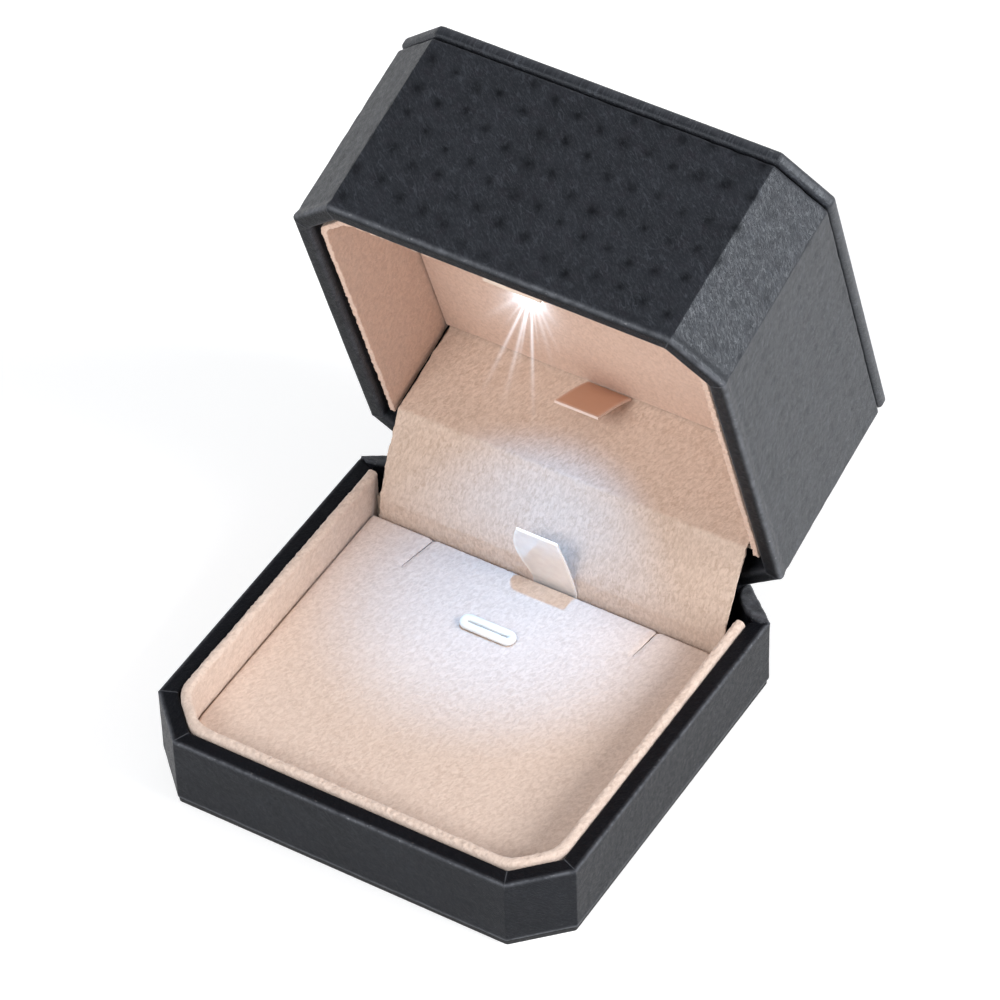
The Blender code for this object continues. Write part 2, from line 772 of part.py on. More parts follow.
def ceiling():
    """The velvet panel over the lamp's cells, its card, and a plastic tab to pull it out by."""
    velvet = 0.8 * MM
    outline = octagon(CEILING_INSET, 4.0 * MM, CURTAIN_Y - 0.2 * MM)
    panel = prism("ceiling_panel", [outline], CEILING_Z, CEILING_Z + velvet, True)
    finish(panel, (0.80, 0.66, 0.54), 0.9)
    board_z = CEILING_Z + velvet + GAP
    board = prism("ceiling_board", [outline], board_z, board_z + CARD, True)
    finish(board, (0.35, 0.30, 0.25), 0.9)

    root = (29.8, 37.5)
    tip = (20.9, 27.4)
    rows = []
    steps = 6
    for step in range(steps + 1):
        t = step / steps
        y = (root[0] + (tip[0] - root[0]) * t) * MM
        z = (root[1] + (tip[1] - root[1]) * t**1.15) * MM
        rows.append([(-6.8 * MM, y, z), (2.7 * MM, y, z)])
    tab = sheet("ceiling_tab", rows, 0.5 * MM, True)
    finish(tab, (0.85, 0.72, 0.62), 0.15, alpha=0.4)


# ---------------------------------------------------------------- lamp, cells and switch


def lamp():
    """The lamp unit on the inner face of the lid's front wall, facing the hinge."""
    back = -HALF + LID_LINER_INSET + LID_LINER + GAP
    front = back + 3.9 * MM
    height = 6.0 * MM
    z = (LAMP_Z - height / 2, LAMP_Z + height / 2)
    housing = block("lamp_housing", (-6.0 * MM, 6.0 * MM), (back, front), z, True)
    wall = 0.8 * MM
    room_z = (z[0] + wall, z[1] - wall)
    room = block("lamp_room", (-5.2 * MM, 5.2 * MM), (back - MM, front - wall), room_z, True)
    window_ends = ((0, back, LAMP_Z), (0, front + MM, LAMP_Z))
    window = rod("lamp_window", 1.9 * MM, *window_ends, True)
    cut(housing, room, window)
    finish(housing, (0.75, 0.70, 0.62), 0.5)

    board_y = (back + 0.3 * MM, back + 1.1 * MM)
    board_z = (LAMP_Z - 1.8 * MM, LAMP_Z + 1.8 * MM)
    board = block("lamp_board", (-4.8 * MM, 4.8 * MM), board_y, board_z, True)
    finish(board, (0.05, 0.25, 0.10), 0.4)

    half = 1.4 * MM
    diode_y = (board_y[1] + 0.2 * MM, board_y[1] + 0.9 * MM)
    diode_z = (LAMP_Z - half, LAMP_Z + half)
    finish(block("lamp_diode", (-half, half), diode_y, diode_z, True), (0.95, 0.95, 0.9), 0.3)

    radius = 1.55 * MM
    straight = 0.8 * MM
    profile = []
    arc_steps = 6
    for step in range(arc_steps + 1):
        angle = math.pi / 2 * step / arc_steps
        profile.append((radius * math.sin(angle), straight + radius * math.cos(angle)))
    profile += [(radius, 0.0), (0.0, 0.0)]
    lens_at = (0, diode_y[1] + 0.3 * MM, LAMP_Z)
    lens = turned("lamp_lens", profile, lens_at, (0, 1, 0), True)
    finish(lens, (0.95, 0.97, 1.0), 0.05, alpha=0.35)


def cell_holder():
    """A tray under the lid's roof for two coin cells in a row."""
    high = LID_ROOF_Z - GAP
    half_x = 22.5 * MM
    half_y = 13.0 * MM
    corners = [(-half_x, -half_y), (half_x, -half_y), (half_x, half_y), (-half_x, half_y)]
    holder = prism("cell_holder", [rounded(corners, 3.0 * MM)], HOLDER_Z, high, True)
    ceiling_z = HOLDER_Z + 5.0 * MM
    for side, x in (("left", -CELL_X), ("right", CELL_X)):
        ends = ((x, 0, 0), (x, 0, ceiling_z))
        cut(holder, rod(f"cell_room_{side}", CELL_RADIUS + GAP, *ends, True, steps=32))
    bridge_z = (ceiling_z - 0.8 * MM, ceiling_z)
    bridge = block("link_slot", (-8.0 * MM, 8.0 * MM), (-2.2 * MM, 2.2 * MM), bridge_z, True)
    tail_z = (0.0, HOLDER_Z + 0.9 * MM)
    tails = block("tail_slot", (-FAR, FAR), (-2.3 * MM, 2.3 * MM), tail_z, True)
    cut(holder, bridge, tails, *screw_holes("holder_screw_hole", 1.3 * MM, 0.0, FAR))
    finish(holder, (0.08, 0.08, 0.08), 0.45)


def cells():
    """Two coin cells and the three strips that join them."""
    low = HOLDER_Z + 1.0 * MM
    high = low + CELL_THICKNESS
    edge = 0.3 * MM
    profile = [
        (0.0, high - low),
        (CELL_RADIUS - edge, high - low),
        (CELL_RADIUS, high - low - edge),
        (CELL_RADIUS, edge * 2),
        (CELL_RADIUS - 3 * edge, 0.0),
        (0.0, 0.0),
    ]
    for side, x in (("left", -CELL_X), ("right", CELL_X)):
        cell = turned(f"cell_{side}", profile, (x, 0, low), (0, 0, 1), True)
        finish(cell, (0.78, 0.78, 0.77), 0.25, 1.0)

    strip = 1.8 * MM
    thickness = 0.25 * MM
    link_z = (high + 0.2 * MM, high + 0.2 * MM + thickness)
    link = block("cell_link", (-7.0 * MM, 7.0 * MM), (-strip, strip), link_z, True)
    finish(link, (0.8, 0.65, 0.3), 0.3, 1.0)
    tail_z = (low - 0.2 * MM - thickness, low - 0.2 * MM)
    near = 6.0 * MM
    far = 24.5 * MM
    negative = block("negative_contact", (near, far), (-strip, strip), tail_z, True)
    positive = block("positive_contact", (-far, -near), (-strip, strip), tail_z, True)
    finish(negative, (0.8, 0.65, 0.3), 0.3, 1.0)
    finish(positive, (0.8, 0.65, 0.3), 0.3, 1.0)


def holder_screws():
    head = 1.4 * MM
    head_radius = 2.2 * MM
    shank = 7.9 * MM
    profile = [
        (0.0, head),
        (head_radius * 0.7, head),
        (head_radius, head * 0.5),
        (head_radius, 0.0),
        (1.0 * MM, 0.0),
        (1.0 * MM, -shank),
        (0.0, -shank),
    ]
    for side, y in (("front", -10.5 * MM), ("rear", 10.5 * MM)):
        at = (0, y, HOLDER_Z - GAP)
        screw = turned(f"holder_screw_{side}", profile, at, (0, 0, -1), True)
        finish(screw, (0.7, 0.7, 0.72), 0.3, 1.0)


def switch():
    """A push switch: a body glued behind the lid's rear card, a plunger and its spring."""
    half = 3.5 * MM
    low = 22.0 * MM
    high = 32.0 * MM
    x = (SWITCH_X - half, SWITCH_X + half)
    y = (SWITCH_Y - half, SWITCH_Y + half)
    body = block("switch_body", x, y, (low, high), True)
    chamber_low = low + 2.6 * MM
    chamber_high = high - 1.0 * MM
    axis = (SWITCH_X, SWITCH_Y)
    bore = rod("switch_bore", 1.6 * MM, (*axis, 0.0), (*axis, low + 5 * MM), True)
    chamber = rod("switch_chamber", 2.2 * MM, (*axis, chamber_low), (*axis, chamber_high), True)
    cut(body, bore, chamber)
    finish(body, (0.08, 0.08, 0.09), 0.4)

    tip = 16.0 * MM
    collar_low = chamber_low + GAP
    collar_high = collar_low + 1.0 * MM
    profile = [
        (0.0, collar_high - tip),
        (1.9 * MM, collar_high - tip),
        (1.9 * MM, collar_low - tip),
        (1.3 * MM, collar_low - tip),
        (1.3 * MM, 0.5 * MM),
        (0.8 * MM, 0.0),
        (0.0, 0.0),
    ]
    plunger = turned("switch_plunger", profile, (*axis, tip), (0, 0, 1), True)
    finish(plunger, (0.85, 0.85, 0.82), 0.35)

    turns = 5
    radius = 1.5 * MM
    spring_low = collar_high + 2 * SPRING_WIRE
    spring_high = chamber_high - 2 * SPRING_WIRE
    points = []
    for step in range(turns * COIL_STEPS + 1):
        t = step / (turns * COIL_STEPS)
        angle = 2 * math.pi * turns * t
        height = spring_low + (spring_high - spring_low) * t
        points.append((axis[0] + radius * math.cos(angle), axis[1] + radius * math.sin(angle), height))
    finish(wire("switch_spring", points, SPRING_WIRE, True), (0.6, 0.6, 0.6), 0.3, 1.0)


def wires():
    """Three wires: cells to lamp, cells to switch, switch to lamp."""
    groove_y = -HALF + LID_RIM_WIDTH + 0.65 * MM
    lamp_y = -HALF + LID_LINER_INSET + LID_LINER + 0.1 * MM
    tail_z = HOLDER_Z + 0.7 * MM
    radius = 0.4 * MM

    def lamp_end(x):
        return [
            (x, groove_y, 39.5 * MM),
            (x, groove_y, 24.0 * MM),
            (x, groove_y + 0.4 * MM, LAMP_Z),
            (x, lamp_y, LAMP_Z),
        ]

    def millimetres(*points):
        return [tuple(value * MM for value in point) for point in points]

    left = millimetres((-26, -3, 46.5), (-22, -20, 43.5), (-8, -37, 42.8), (-3, -40.6, 41.6))
    plus = [(-25.2 * MM, 0.0, tail_z)] + left + lamp_end(-2.5 * MM)
    finish(wire("lamp_wire", plus, radius, True), (0.6, 0.03, 0.03), 0.4)

    middle = millimetres((28, 4, 46.5), (29, 22, 43.5), (28, 33, 41), (26.8, 36.3, 38), (26.8, 36.3, 32.4))
    minus = [(25.2 * MM, 0.0, tail_z)] + middle
    finish(wire("switch_wire", minus, radius, True), (0.03, 0.03, 0.03), 0.4)

    right = millimetres((29.4, 36.3, 32.4), (29.4, 36.3, 37), (31.5, 32, 42), (33, 8, 42.6))
    right += millimetres((24, -24, 42.8), (8, -37, 42.8), (3, -40.6, 41.6))
    finish(wire("return_wire", right + lamp_end(2.5 * MM), radius, True), (0.03, 0.03, 0.03), 0.4)


# ---------------------------------------------------------------- assembly

clear_scene()
parts = new_collection("ring_box")
cutters = new_collection("cutters")
lid_axis = bpy.data.objects.new("lid_axis", None)
parts.objects.link(lid_axis)
lid_axis.location = HINGE
lid_axis.rotation_euler = (-OPEN_ANGLE, 0.0, 0.0)

base_shell()
base_wrap()
bottom_board()
base_liner()
base_rear_card()
curtain()
hinge_strip()
switch_striker()
insert_pad()
slot_insert()
pad_tab()
hinge_leaf("hinge_base_leaf", BASE_KNUCKLES, -1, False)
hinge_leaf("hinge_lid_leaf", LID_KNUCKLES, 1, True)
hinge_pin()
hinge_rivets()
hinge_spring("hinge_spring_left", -1)
hinge_spring("hinge_spring_right", 1)
lid_shell()
lid_wrap()
top_board()
lid_liner()
lid_rear_card()
ceiling()
lamp()
cell_holder()
cells()
holder_screws()
switch()
wires()
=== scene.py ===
"""Looks for the ring box: leather, velvet, tabs, the lamp and a white studio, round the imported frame."""

import itertools
import json
import math

import bmesh
import bpy
import numpy as np
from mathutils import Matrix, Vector

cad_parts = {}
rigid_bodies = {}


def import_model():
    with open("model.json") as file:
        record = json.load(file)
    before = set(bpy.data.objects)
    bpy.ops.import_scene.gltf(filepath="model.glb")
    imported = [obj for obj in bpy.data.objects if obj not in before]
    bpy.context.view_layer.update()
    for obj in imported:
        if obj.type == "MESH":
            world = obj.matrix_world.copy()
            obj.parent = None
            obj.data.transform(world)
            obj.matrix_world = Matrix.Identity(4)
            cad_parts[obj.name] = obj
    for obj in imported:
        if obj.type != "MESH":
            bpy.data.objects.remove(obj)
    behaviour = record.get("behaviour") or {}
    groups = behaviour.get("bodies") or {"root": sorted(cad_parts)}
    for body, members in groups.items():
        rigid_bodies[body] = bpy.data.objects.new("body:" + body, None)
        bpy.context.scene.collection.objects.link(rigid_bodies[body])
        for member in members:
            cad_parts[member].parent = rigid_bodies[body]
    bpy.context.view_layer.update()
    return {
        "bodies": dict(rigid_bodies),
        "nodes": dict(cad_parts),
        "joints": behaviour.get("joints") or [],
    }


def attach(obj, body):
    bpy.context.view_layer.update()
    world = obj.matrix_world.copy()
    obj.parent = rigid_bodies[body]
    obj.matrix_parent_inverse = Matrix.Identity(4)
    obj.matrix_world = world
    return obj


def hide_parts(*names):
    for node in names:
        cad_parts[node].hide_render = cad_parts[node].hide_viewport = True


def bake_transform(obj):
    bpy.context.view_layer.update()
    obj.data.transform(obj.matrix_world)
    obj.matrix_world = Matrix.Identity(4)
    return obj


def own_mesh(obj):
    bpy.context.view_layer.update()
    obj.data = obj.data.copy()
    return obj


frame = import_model()

MM = 0.001
EIGHTH = math.radians(45.0)
SHARP = math.radians(50.0)

# The hinge turns lid pieces between the shut box, in which they are shaped, and the rest pose.
HINGE = next(joint for joint in frame["joints"] if joint["name"] == "lid_hinge")
HINGE_Y, HINGE_Z = HINGE["pos_m"][1:]
OPEN_ANGLE = math.radians(-HINGE["range_deg"][0])


def turned(points, angle):
    """Points turned about the hinge pin."""
    y, z = points[..., 1] - HINGE_Y, points[..., 2] - HINGE_Z
    result = np.array(points, dtype=float)
    result[..., 1] = HINGE_Y + y * math.cos(angle) - z * math.sin(angle)
    result[..., 2] = HINGE_Z + y * math.sin(angle) + z * math.cos(angle)
    return result


def opened(points):
    """From the shut box to where the lid stands at rest."""
    return turned(np.asarray(points, dtype=float), -OPEN_ANGLE)


def cad_points(node, in_lid=False):
    """A CAD node's points, for a lid node as they lie in the shut box."""
    mesh = frame["nodes"][node].data
    points = np.empty(len(mesh.vertices) * 3)
    mesh.vertices.foreach_get("co", points)
    points = points.reshape(-1, 3)
    return turned(points, OPEN_ANGLE) if in_lid else points


def span(node, in_lid=False):
    """The lowest and highest corners of a CAD node."""
    points = cad_points(node, in_lid)
    return points.min(axis=0), points.max(axis=0)


# Driving sizes, read from the frame.
WRAP_LOW, WRAP_HIGH = span("base_wrap")
LID_LOW, LID_HIGH = span("lid_wrap", True)
TOP_LOW, TOP_HIGH = span("top_cover", True)
LINER_LOW, LINER_HIGH = span("base_liner")
LID_LINER_LOW, LID_LINER_HIGH = span("lid_liner", True)
PAD_LOW, PAD_HIGH = span("pad")
CEILING_LOW, CEILING_HIGH = span("ceiling_panel", True)
SLOT_LOW, SLOT_HIGH = span("slot_insert")
LENS_LOW, LENS_HIGH = span("lamp_lens", True)
HALF = WRAP_HIGH[0]

# How far along each wall a corner chamfer starts, and how much less that is for each step inwards.
FRONT_EDGE = cad_points("base_wrap")
FRONT_EDGE = FRONT_EDGE[FRONT_EDGE[:, 1] < WRAP_LOW[1] + 0.05 * MM]
LEG = HALF - FRONT_EDGE[:, 0].max() - 0.3 * MM
LEG_SHRINK = 2.0 - math.sqrt(2.0)


# ---- Shapes ----

def noise(points, size, seed):
    """Smooth random values from -1 to 1 that vary over about the given size."""
    place = points / size + seed * 7.31
    cell = np.floor(place).astype(np.int64)
    part = place - cell
    part = part * part * (3.0 - 2.0 * part)
    total = np.zeros(points.shape[:-1])
    for corner in itertools.product((0, 1), repeat=3):
        at = cell + np.array(corner)
        code = (at[..., 0] * 73856093) ^ (at[..., 1] * 19349663) ^ (at[..., 2] * 83492791)
        code = (code ^ (seed * 2654435761)) & 0xFFFFFFFF
        code = ((code ^ (code >> 15)) * 2246822519) & 0xFFFFFFFF
        code = ((code ^ (code >> 13)) * 3266489917) & 0xFFFFFFFF
        value = (code ^ (code >> 16)) / 2147483648.0 - 1.0
        weight = np.prod(np.where(corner, part, 1.0 - part), axis=-1)
        total += weight * value
    return total


def uneven(points, *layers):
    """Unevenness made of layers of noise, each with its height and size in millimetres and its seed."""
    return sum(height * MM * noise(points, size * MM, seed) for height, size, seed in layers)


def unit(values):
    """Values held between 0 and 1."""
    return np.clip(values, 0.0, 1.0)


def bump(distance, width):
    """A round hill: 1 at no distance, falling away over the width."""
    return np.exp(-(distance / width) ** 2)


def heading(start, end):
    """The way from one place to another."""
    return (end - start) / np.linalg.norm(end - start)


def run(first, last, count):
    """The points of a straight line, in equal steps."""
    return [first + (last - first) * k / count for k in range(count + 1)]


def arc(last, way, side, radius, turn, steps):
    """The points within a round corner that turns left (side 1) or right (-1) after a straight line."""
    inward = np.array([-way[1], way[0]]) * side
    centre = last + inward * radius
    angles = [turn * k / steps for k in range(1, steps)]
    return [centre + radius * (way * math.sin(angle) - inward * math.cos(angle)) for angle in angles]


def path(corners, radii, step, arc_steps=6):
    """A polyline in a plane with rounded corners, cut into short steps."""
    corners = [np.array(corner, dtype=float) for corner in corners]
    ways = [heading(start, end) for start, end in zip(corners, corners[1:])]
    turns = [math.acos(np.clip(way @ after, -1.0, 1.0)) for way, after in zip(ways, ways[1:])]
    trims = [0.0] + [radius * math.tan(turn / 2.0) for radius, turn in zip(radii, turns)] + [0.0]
    points = []
    for i, way in enumerate(ways):
        first, last = corners[i] + way * trims[i], corners[i + 1] - way * trims[i + 1]
        points += run(first, last, max(1, round(np.linalg.norm(last - first) / step)))
        if i < len(turns):
            side = math.copysign(1.0, way[0] * ways[i + 1][1] - way[1] * ways[i + 1][0])
            points += arc(last, way, side, radii[i], turns[i], arc_steps)
    return np.array(points)


def octagon(inset, radius, steps, rear=None, arc_steps=5):
    """The box's outline, clockwise from the right rear.

    With a rear limit the outline is open: it starts and ends on that line.
    """
    a = HALF - inset
    leg = LEG - LEG_SHRINK * inset
    corners = [(a, leg - a), (a - leg, -a), (leg - a, -a), (-a, leg - a)]
    side, chamfer = steps
    if rear is None:
        corners += [(-a, a - leg), (leg - a, a), (a - leg, a), (a, a - leg)]
        counts = [chamfer, side] * 4
    else:
        corners = [(a, rear)] + corners + [(-a, rear)]
        counts = [side, chamfer, side, chamfer, side]
    corners = np.array(corners)
    trim = radius * math.tan(EIGHTH / 2.0)
    points = []
    for i, count in enumerate(counts):
        start, end = corners[i], corners[(i + 1) % len(corners)]
        way = heading(start, end)
        starts_square = rear is not None and i == 0
        ends_square = rear is not None and i == len(counts) - 1
        first = start + way * (0.0 if starts_square else trim)
        last = end - way * (0.0 if ends_square else trim)
        points += run(first, last, count)
        if not ends_square:
            points += arc(last, way, -1.0, radius, EIGHTH, arc_steps)
    return np.array(points)


def swept(profile, radius, steps, rear=None):
    """A profile of (inset, height) points carried round the octagon: rows by columns of points."""
    rows = []
    for inset, height in profile:
        points = octagon(inset, radius, steps, rear)
        rows.append(np.column_stack([points, np.full(len(points), height)]))
    return np.array(rows)


def lengths(points, closed):
    """How far along a line of points each one lies, with the closing length last."""
    line = np.vstack([points, points[:1]]) if closed else points
    return np.concatenate([[0.0], np.cumsum(np.linalg.norm(np.diff(line, axis=0), axis=1))])


def normals(grid, round_columns):
    """The way out of a swept surface at each of its points."""
    along_rows = np.roll(grid, -1, axis=0) - np.roll(grid, 1, axis=0)
    if round_columns:
        along_columns = np.roll(grid, -1, axis=1) - np.roll(grid, 1, axis=1)
    else:
        along_columns = np.gradient(grid, axis=1)
    out = np.cross(along_rows, along_columns)
    return out / np.maximum(np.linalg.norm(out, axis=-1, keepdims=True), 1e-12)


def directions(line):
    """The way along a line at each of its points."""
    ways = np.gradient(line, axis=0)
    return ways / np.linalg.norm(ways, axis=1, keepdims=True)


def drawn_out(loop, columns):
    """A (Y, Z) outline at each X of the columns: rows by columns of points."""
    grid = np.zeros((len(loop), len(columns), 3))
    grid[..., 0] = columns[None, :]
    grid[..., 1:] = loop[:, None, :]
    return grid


def link(obj):
    bpy.context.scene.collection.objects.link(obj)
    return obj


def stand_for(piece, body, node):
    """Puts a piece on its body, in place of a CAD node."""
    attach(piece, body)
    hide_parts(node)


def mesh_piece(name, vertices, faces, material, uvs=None, smooth=True):
    """A new object from points and faces, with a map of surface distances in metres."""
    mesh = bpy.data.meshes.new(name)
    mesh.from_pydata(vertices.tolist(), [], faces)
    mesh.materials.append(material)
    if uvs is not None:
        layer = mesh.uv_layers.new(name="surface")
        layer.data.foreach_set("uv", np.asarray(uvs, dtype=float).ravel())
    if smooth:
        mesh.shade_smooth()
        mesh.set_sharp_from_angle(angle=SHARP)
    mesh.validate()
    return link(bpy.data.objects.new(name, mesh))


def quads(index, facing_up=False):
    """The faces between a grid's points, from each point's number."""
    a, b, c, d = index[:-1, :-1], index[1:, :-1], index[1:, 1:], index[:-1, 1:]
    return np.stack([a, d, c, b] if facing_up else [a, b, c, d], -1).reshape(-1, 4).tolist()


def tube(name, grid, material, round_columns=True):
    """A closed surface from a grid whose rows run round it. Columns close up too, or get end caps."""
    rows, columns = grid.shape[:2]
    index = np.arange(rows * columns).reshape(rows, columns)
    across = lengths(grid[rows // 4], round_columns)
    up = lengths(grid[:, columns // 3], True)
    last = columns if round_columns else columns - 1
    row, column = np.meshgrid(np.arange(rows), np.arange(last), indexing="ij")
    corners = [(row + i, column + j) for i, j in ((0, 0), (1, 0), (1, 1), (0, 1))]
    faces = np.stack([index[i % rows, j % columns] for i, j in corners], -1).reshape(-1, 4).tolist()
    uvs = np.stack([np.stack([across[j], up[i]], axis=-1) for i, j in corners], axis=2).reshape(-1, 2)
    if not round_columns:
        for column, order in ((0, -1), (columns - 1, 1)):
            faces.append(index[::order, column].tolist())
            uvs = np.vstack([uvs, grid[::order, column, 1:]])
    return mesh_piece(name, grid.reshape(-1, 3), faces, material, uvs)


def closed_section(outer, thickness):
    """A profile closed by a sparser line back inside it, and how many of its points are the outer ones."""
    ways = directions(outer)
    inside = outer + np.column_stack([-ways[:, 1], ways[:, 0]]) * -thickness
    picked = list(range(0, len(outer), 6))
    if picked[-1] != len(outer) - 1:
        picked.append(len(outer) - 1)
    return np.vstack([outer, inside[picked[::-1]]]), len(outer)


# ---- Materials ----

class Shader:
    """A Principled material and the few node moves that the materials below are made of."""

    def __init__(self, name, colour, roughness, metallic=0.0):
        self.material = bpy.data.materials.new(name)
        self.material.use_nodes = True
        self.tree = self.material.node_tree
        self.surface = self.tree.nodes["Principled BSDF"]
        self.place = self.add("TexCoord").outputs["Object"]
        self.last_bump = None
        self.give("Base Color", (*colour, 1.0))
        self.give("Roughness", roughness)
        self.give("Metallic", metallic)

    def feed(self, socket, value):
        """Sets a socket, or links it when the value is another node's output."""
        if isinstance(value, bpy.types.NodeSocket):
            self.tree.links.new(value, socket)
        else:
            socket.default_value = value

    def add(self, kind, inputs=(), **settings):
        """A new node, with its settings and then its inputs."""
        node = self.tree.nodes.new("ShaderNode" + kind)
        for name, value in settings.items():
            setattr(node, name, value)
        for name, value in inputs:
            self.feed(node.inputs[name], value)
        return node

    def give(self, name, value):
        self.feed(self.surface.inputs[name], value)

    def surface_map(self):
        return self.add("UVMap", uv_map="surface").outputs["UV"]

    def stretched(self, vector, scale, turn=0.0):
        """Texture space squeezed along its axes, after a turn about Z."""
        size = tuple(1.0 / value for value in scale)
        inputs = [("Vector", vector), ("Rotation", (0.0, 0.0, turn)), ("Scale", size)]
        return self.add("Mapping", inputs, vector_type="TEXTURE").outputs["Vector"]

    def noise(self, size, detail=3.0, vector=None, rough=0.55, twist=0.0):
        """Noise whose features are about the given size in metres."""
        inputs = [("Vector", vector or self.place), ("Scale", 1.0 / size), ("Detail", detail),
                  ("Roughness", rough), ("Distortion", twist)]
        return self.add("TexNoise", inputs).outputs["Fac"]

    def cells(self, size):
        """How far a place lies from the edges of random cells of about the given size in metres."""
        inputs = [("Vector", self.place), ("Scale", 1.0 / size)]
        return self.add("TexVoronoi", inputs, feature="DISTANCE_TO_EDGE").outputs["Distance"]

    def attribute(self, name):
        return self.add("Attribute", attribute_name=name).outputs["Fac"]

    def spread(self, value, low, high, to_low=0.0, to_high=1.0):
        """A value's range from low to high carried over to another range."""
        inputs = [("Value", value), ("From Min", low), ("From Max", high),
                  ("To Min", to_low), ("To Max", to_high)]
        return self.add("MapRange", inputs, clamp=True).outputs["Result"]

    def maths(self, operation, first, second):
        return self.add("Math", [(0, first), (1, second)], operation=operation).outputs[0]

    def blend(self, factor, first, second):
        """A colour between two others."""
        ends = [(*colour, 1.0) if isinstance(colour, tuple) else colour for colour in (first, second)]
        return self.add("Mix", [("Factor", factor), (6, ends[0]), (7, ends[1])], data_type="RGBA").outputs[2]

    def relief(self, height, depth, strength=1.0):
        """Fine relief, given the depth in metres of a height from 0 to 1."""
        inputs = [("Height", height), ("Distance", depth), ("Strength", strength)]
        if self.last_bump is not None:
            inputs.append(("Normal", self.last_bump))
        self.last_bump = self.add("Bump", inputs).outputs["Normal"]
        self.give("Normal", self.last_bump)


def scaled(colour, factor):
    return tuple(value * factor for value in colour)


def leather(name, dark, light, shine, fibre_share, fibre_depth):
    """Leatherette: fine grain, fibrous strokes and creases, darker where shaded, with painted highlight lines
    along its folds and edges and worn pale specks on them.
    """
    look = Shader(name, dark, 0.42)
    spread_map = look.surface_map()
    drift = look.spread(look.noise(8.0 * MM, 4.0), 0.35, 0.68)
    base = look.blend(drift, scaled(dark, 0.8), scaled(dark, 1.15))
    tint = look.spread(look.noise(2.4 * MM, 3.0), 0.5, 0.75, 0.0, 0.5)
    base = look.blend(tint, base, (dark[0] * 1.25, dark[1] * 0.85, dark[2] * 0.95))
    strokes = look.stretched(spread_map, (1.0, 5.0, 1.0), math.radians(38.0))
    fibre = look.noise(1.1 * MM, 4.0, strokes, 0.62, 1.4)
    fibre = look.spread(fibre, 0.50, 0.72)
    base = look.blend(look.maths("MULTIPLY", fibre, fibre_share), base, light)
    lengthways = look.stretched(spread_map, (1.0, 4.0, 1.0), math.radians(40.0))
    crease = look.noise(4.5 * MM, 2.0, lengthways, 0.5, 0.5)
    crease = look.maths("ABSOLUTE", look.maths("SUBTRACT", crease, 0.5), 0.0)
    crease = look.spread(crease, 0.0, 0.032, 1.0, 0.0)
    crease = look.maths("MULTIPLY", crease, look.spread(look.noise(2.6 * MM, 2.0), 0.36, 0.64, 0.0, 0.6))
    # The creases are paler: painted highlight lines.
    base = look.blend(look.maths("MULTIPLY", crease, fibre_share), base, scaled(light, 1.6))
    roughness = look.spread(look.noise(1.0 * MM, 4.0), 0.3, 0.7, 0.36, 0.52)
    shade = look.attribute("shade")
    base = look.blend(shade, base, (0.0010, 0.0012, 0.0020))
    roughness = look.maths("ADD", roughness, look.maths("MULTIPLY", shade, 0.12))
    look.give("Specular IOR Level", look.spread(shade, 0.0, 1.0, shine, shine * 0.2))
    edge = look.attribute("edge")
    # Along the marked folds, seams and patches: a patchy painted highlight line, then worn pale specks.
    edge_highlight = look.spread(look.noise(1.6 * MM, 4.0, None, 0.7), 0.30, 0.60, 0.35, 1.0)
    base = look.blend(look.maths("MULTIPLY", edge, edge_highlight), base, (0.115, 0.120, 0.135))
    worn = look.spread(look.noise(0.7 * MM, 5.0, None, 0.7), 0.62, 0.70)
    look.give("Base Color", look.blend(look.maths("MULTIPLY", worn, edge), base, (0.34, 0.34, 0.35)))
    look.give("Roughness", roughness)
    look.give("Specular Tint", (0.87, 0.93, 1.0, 1.0))
    look.relief(look.cells(0.55 * MM), 0.035 * MM, 0.7)
    look.relief(fibre, fibre_depth, 1.0)
    look.relief(crease, 0.03 * MM, 0.8)
    look.relief(look.noise(0.28 * MM, 3.0), 0.02 * MM, 0.7)
    return look.material


def velvet(name, light, dark, strokes):
    """Peach velvet: short strokes of nap, darker in its hollows, with a soft sheen."""
    look = Shader(name, light, 0.95)
    brushed = look.stretched(look.place, strokes, math.radians(-20.0))
    wide = look.spread(look.noise(8.0 * MM, 3.0), 0.3, 0.7, 0.0, 0.3)
    nap = look.noise(0.9 * MM, 3.0, brushed, 0.55, 0.7)
    tips = look.noise(0.32 * MM, 3.0, brushed, 0.6)
    shade = look.maths("ADD", look.maths("MULTIPLY", nap, 0.7), look.maths("MULTIPLY", tips, 0.3))
    colour = look.blend(look.spread(shade, 0.38, 0.60), dark, light)
    look.give("Base Color", look.blend(wide, colour, scaled(light, 0.93)))
    look.give("Specular IOR Level", 0.15)
    look.give("Sheen Weight", 0.35)
    look.give("Sheen Roughness", 0.5)
    look.give("Sheen Tint", (1.0, 0.95, 0.91, 1.0))
    look.relief(nap, 0.15 * MM, 0.8)
    look.relief(tips, 0.07 * MM, 0.8)
    return look.material


EVEN = (1.0, 1.0, 1.0)
BRUSHED = (0.08, 1.0, 1.0)


def moulded(name, colour, roughness, grain=0.5 * MM, depth=0.01 * MM, metallic=0.0, stretch=EVEN):
    """A hard material with a faint grain, brushed along one way where it is stretched."""
    look = Shader(name, colour, roughness, metallic)
    vector = look.stretched(look.place, stretch)
    fine = look.noise(grain, 4.0, vector, 0.6)
    wide = look.noise(grain * 14.0, 3.0)
    darker, lighter = scaled(colour, 0.86), scaled(colour, 1.1)
    look.give("Base Color", look.blend(look.spread(wide, 0.3, 0.7), darker, lighter))
    look.give("Roughness", look.spread(fine, 0.25, 0.75, roughness * 0.85, min(1.0, roughness * 1.2)))
    look.relief(fine, depth, 0.8)
    return look.material


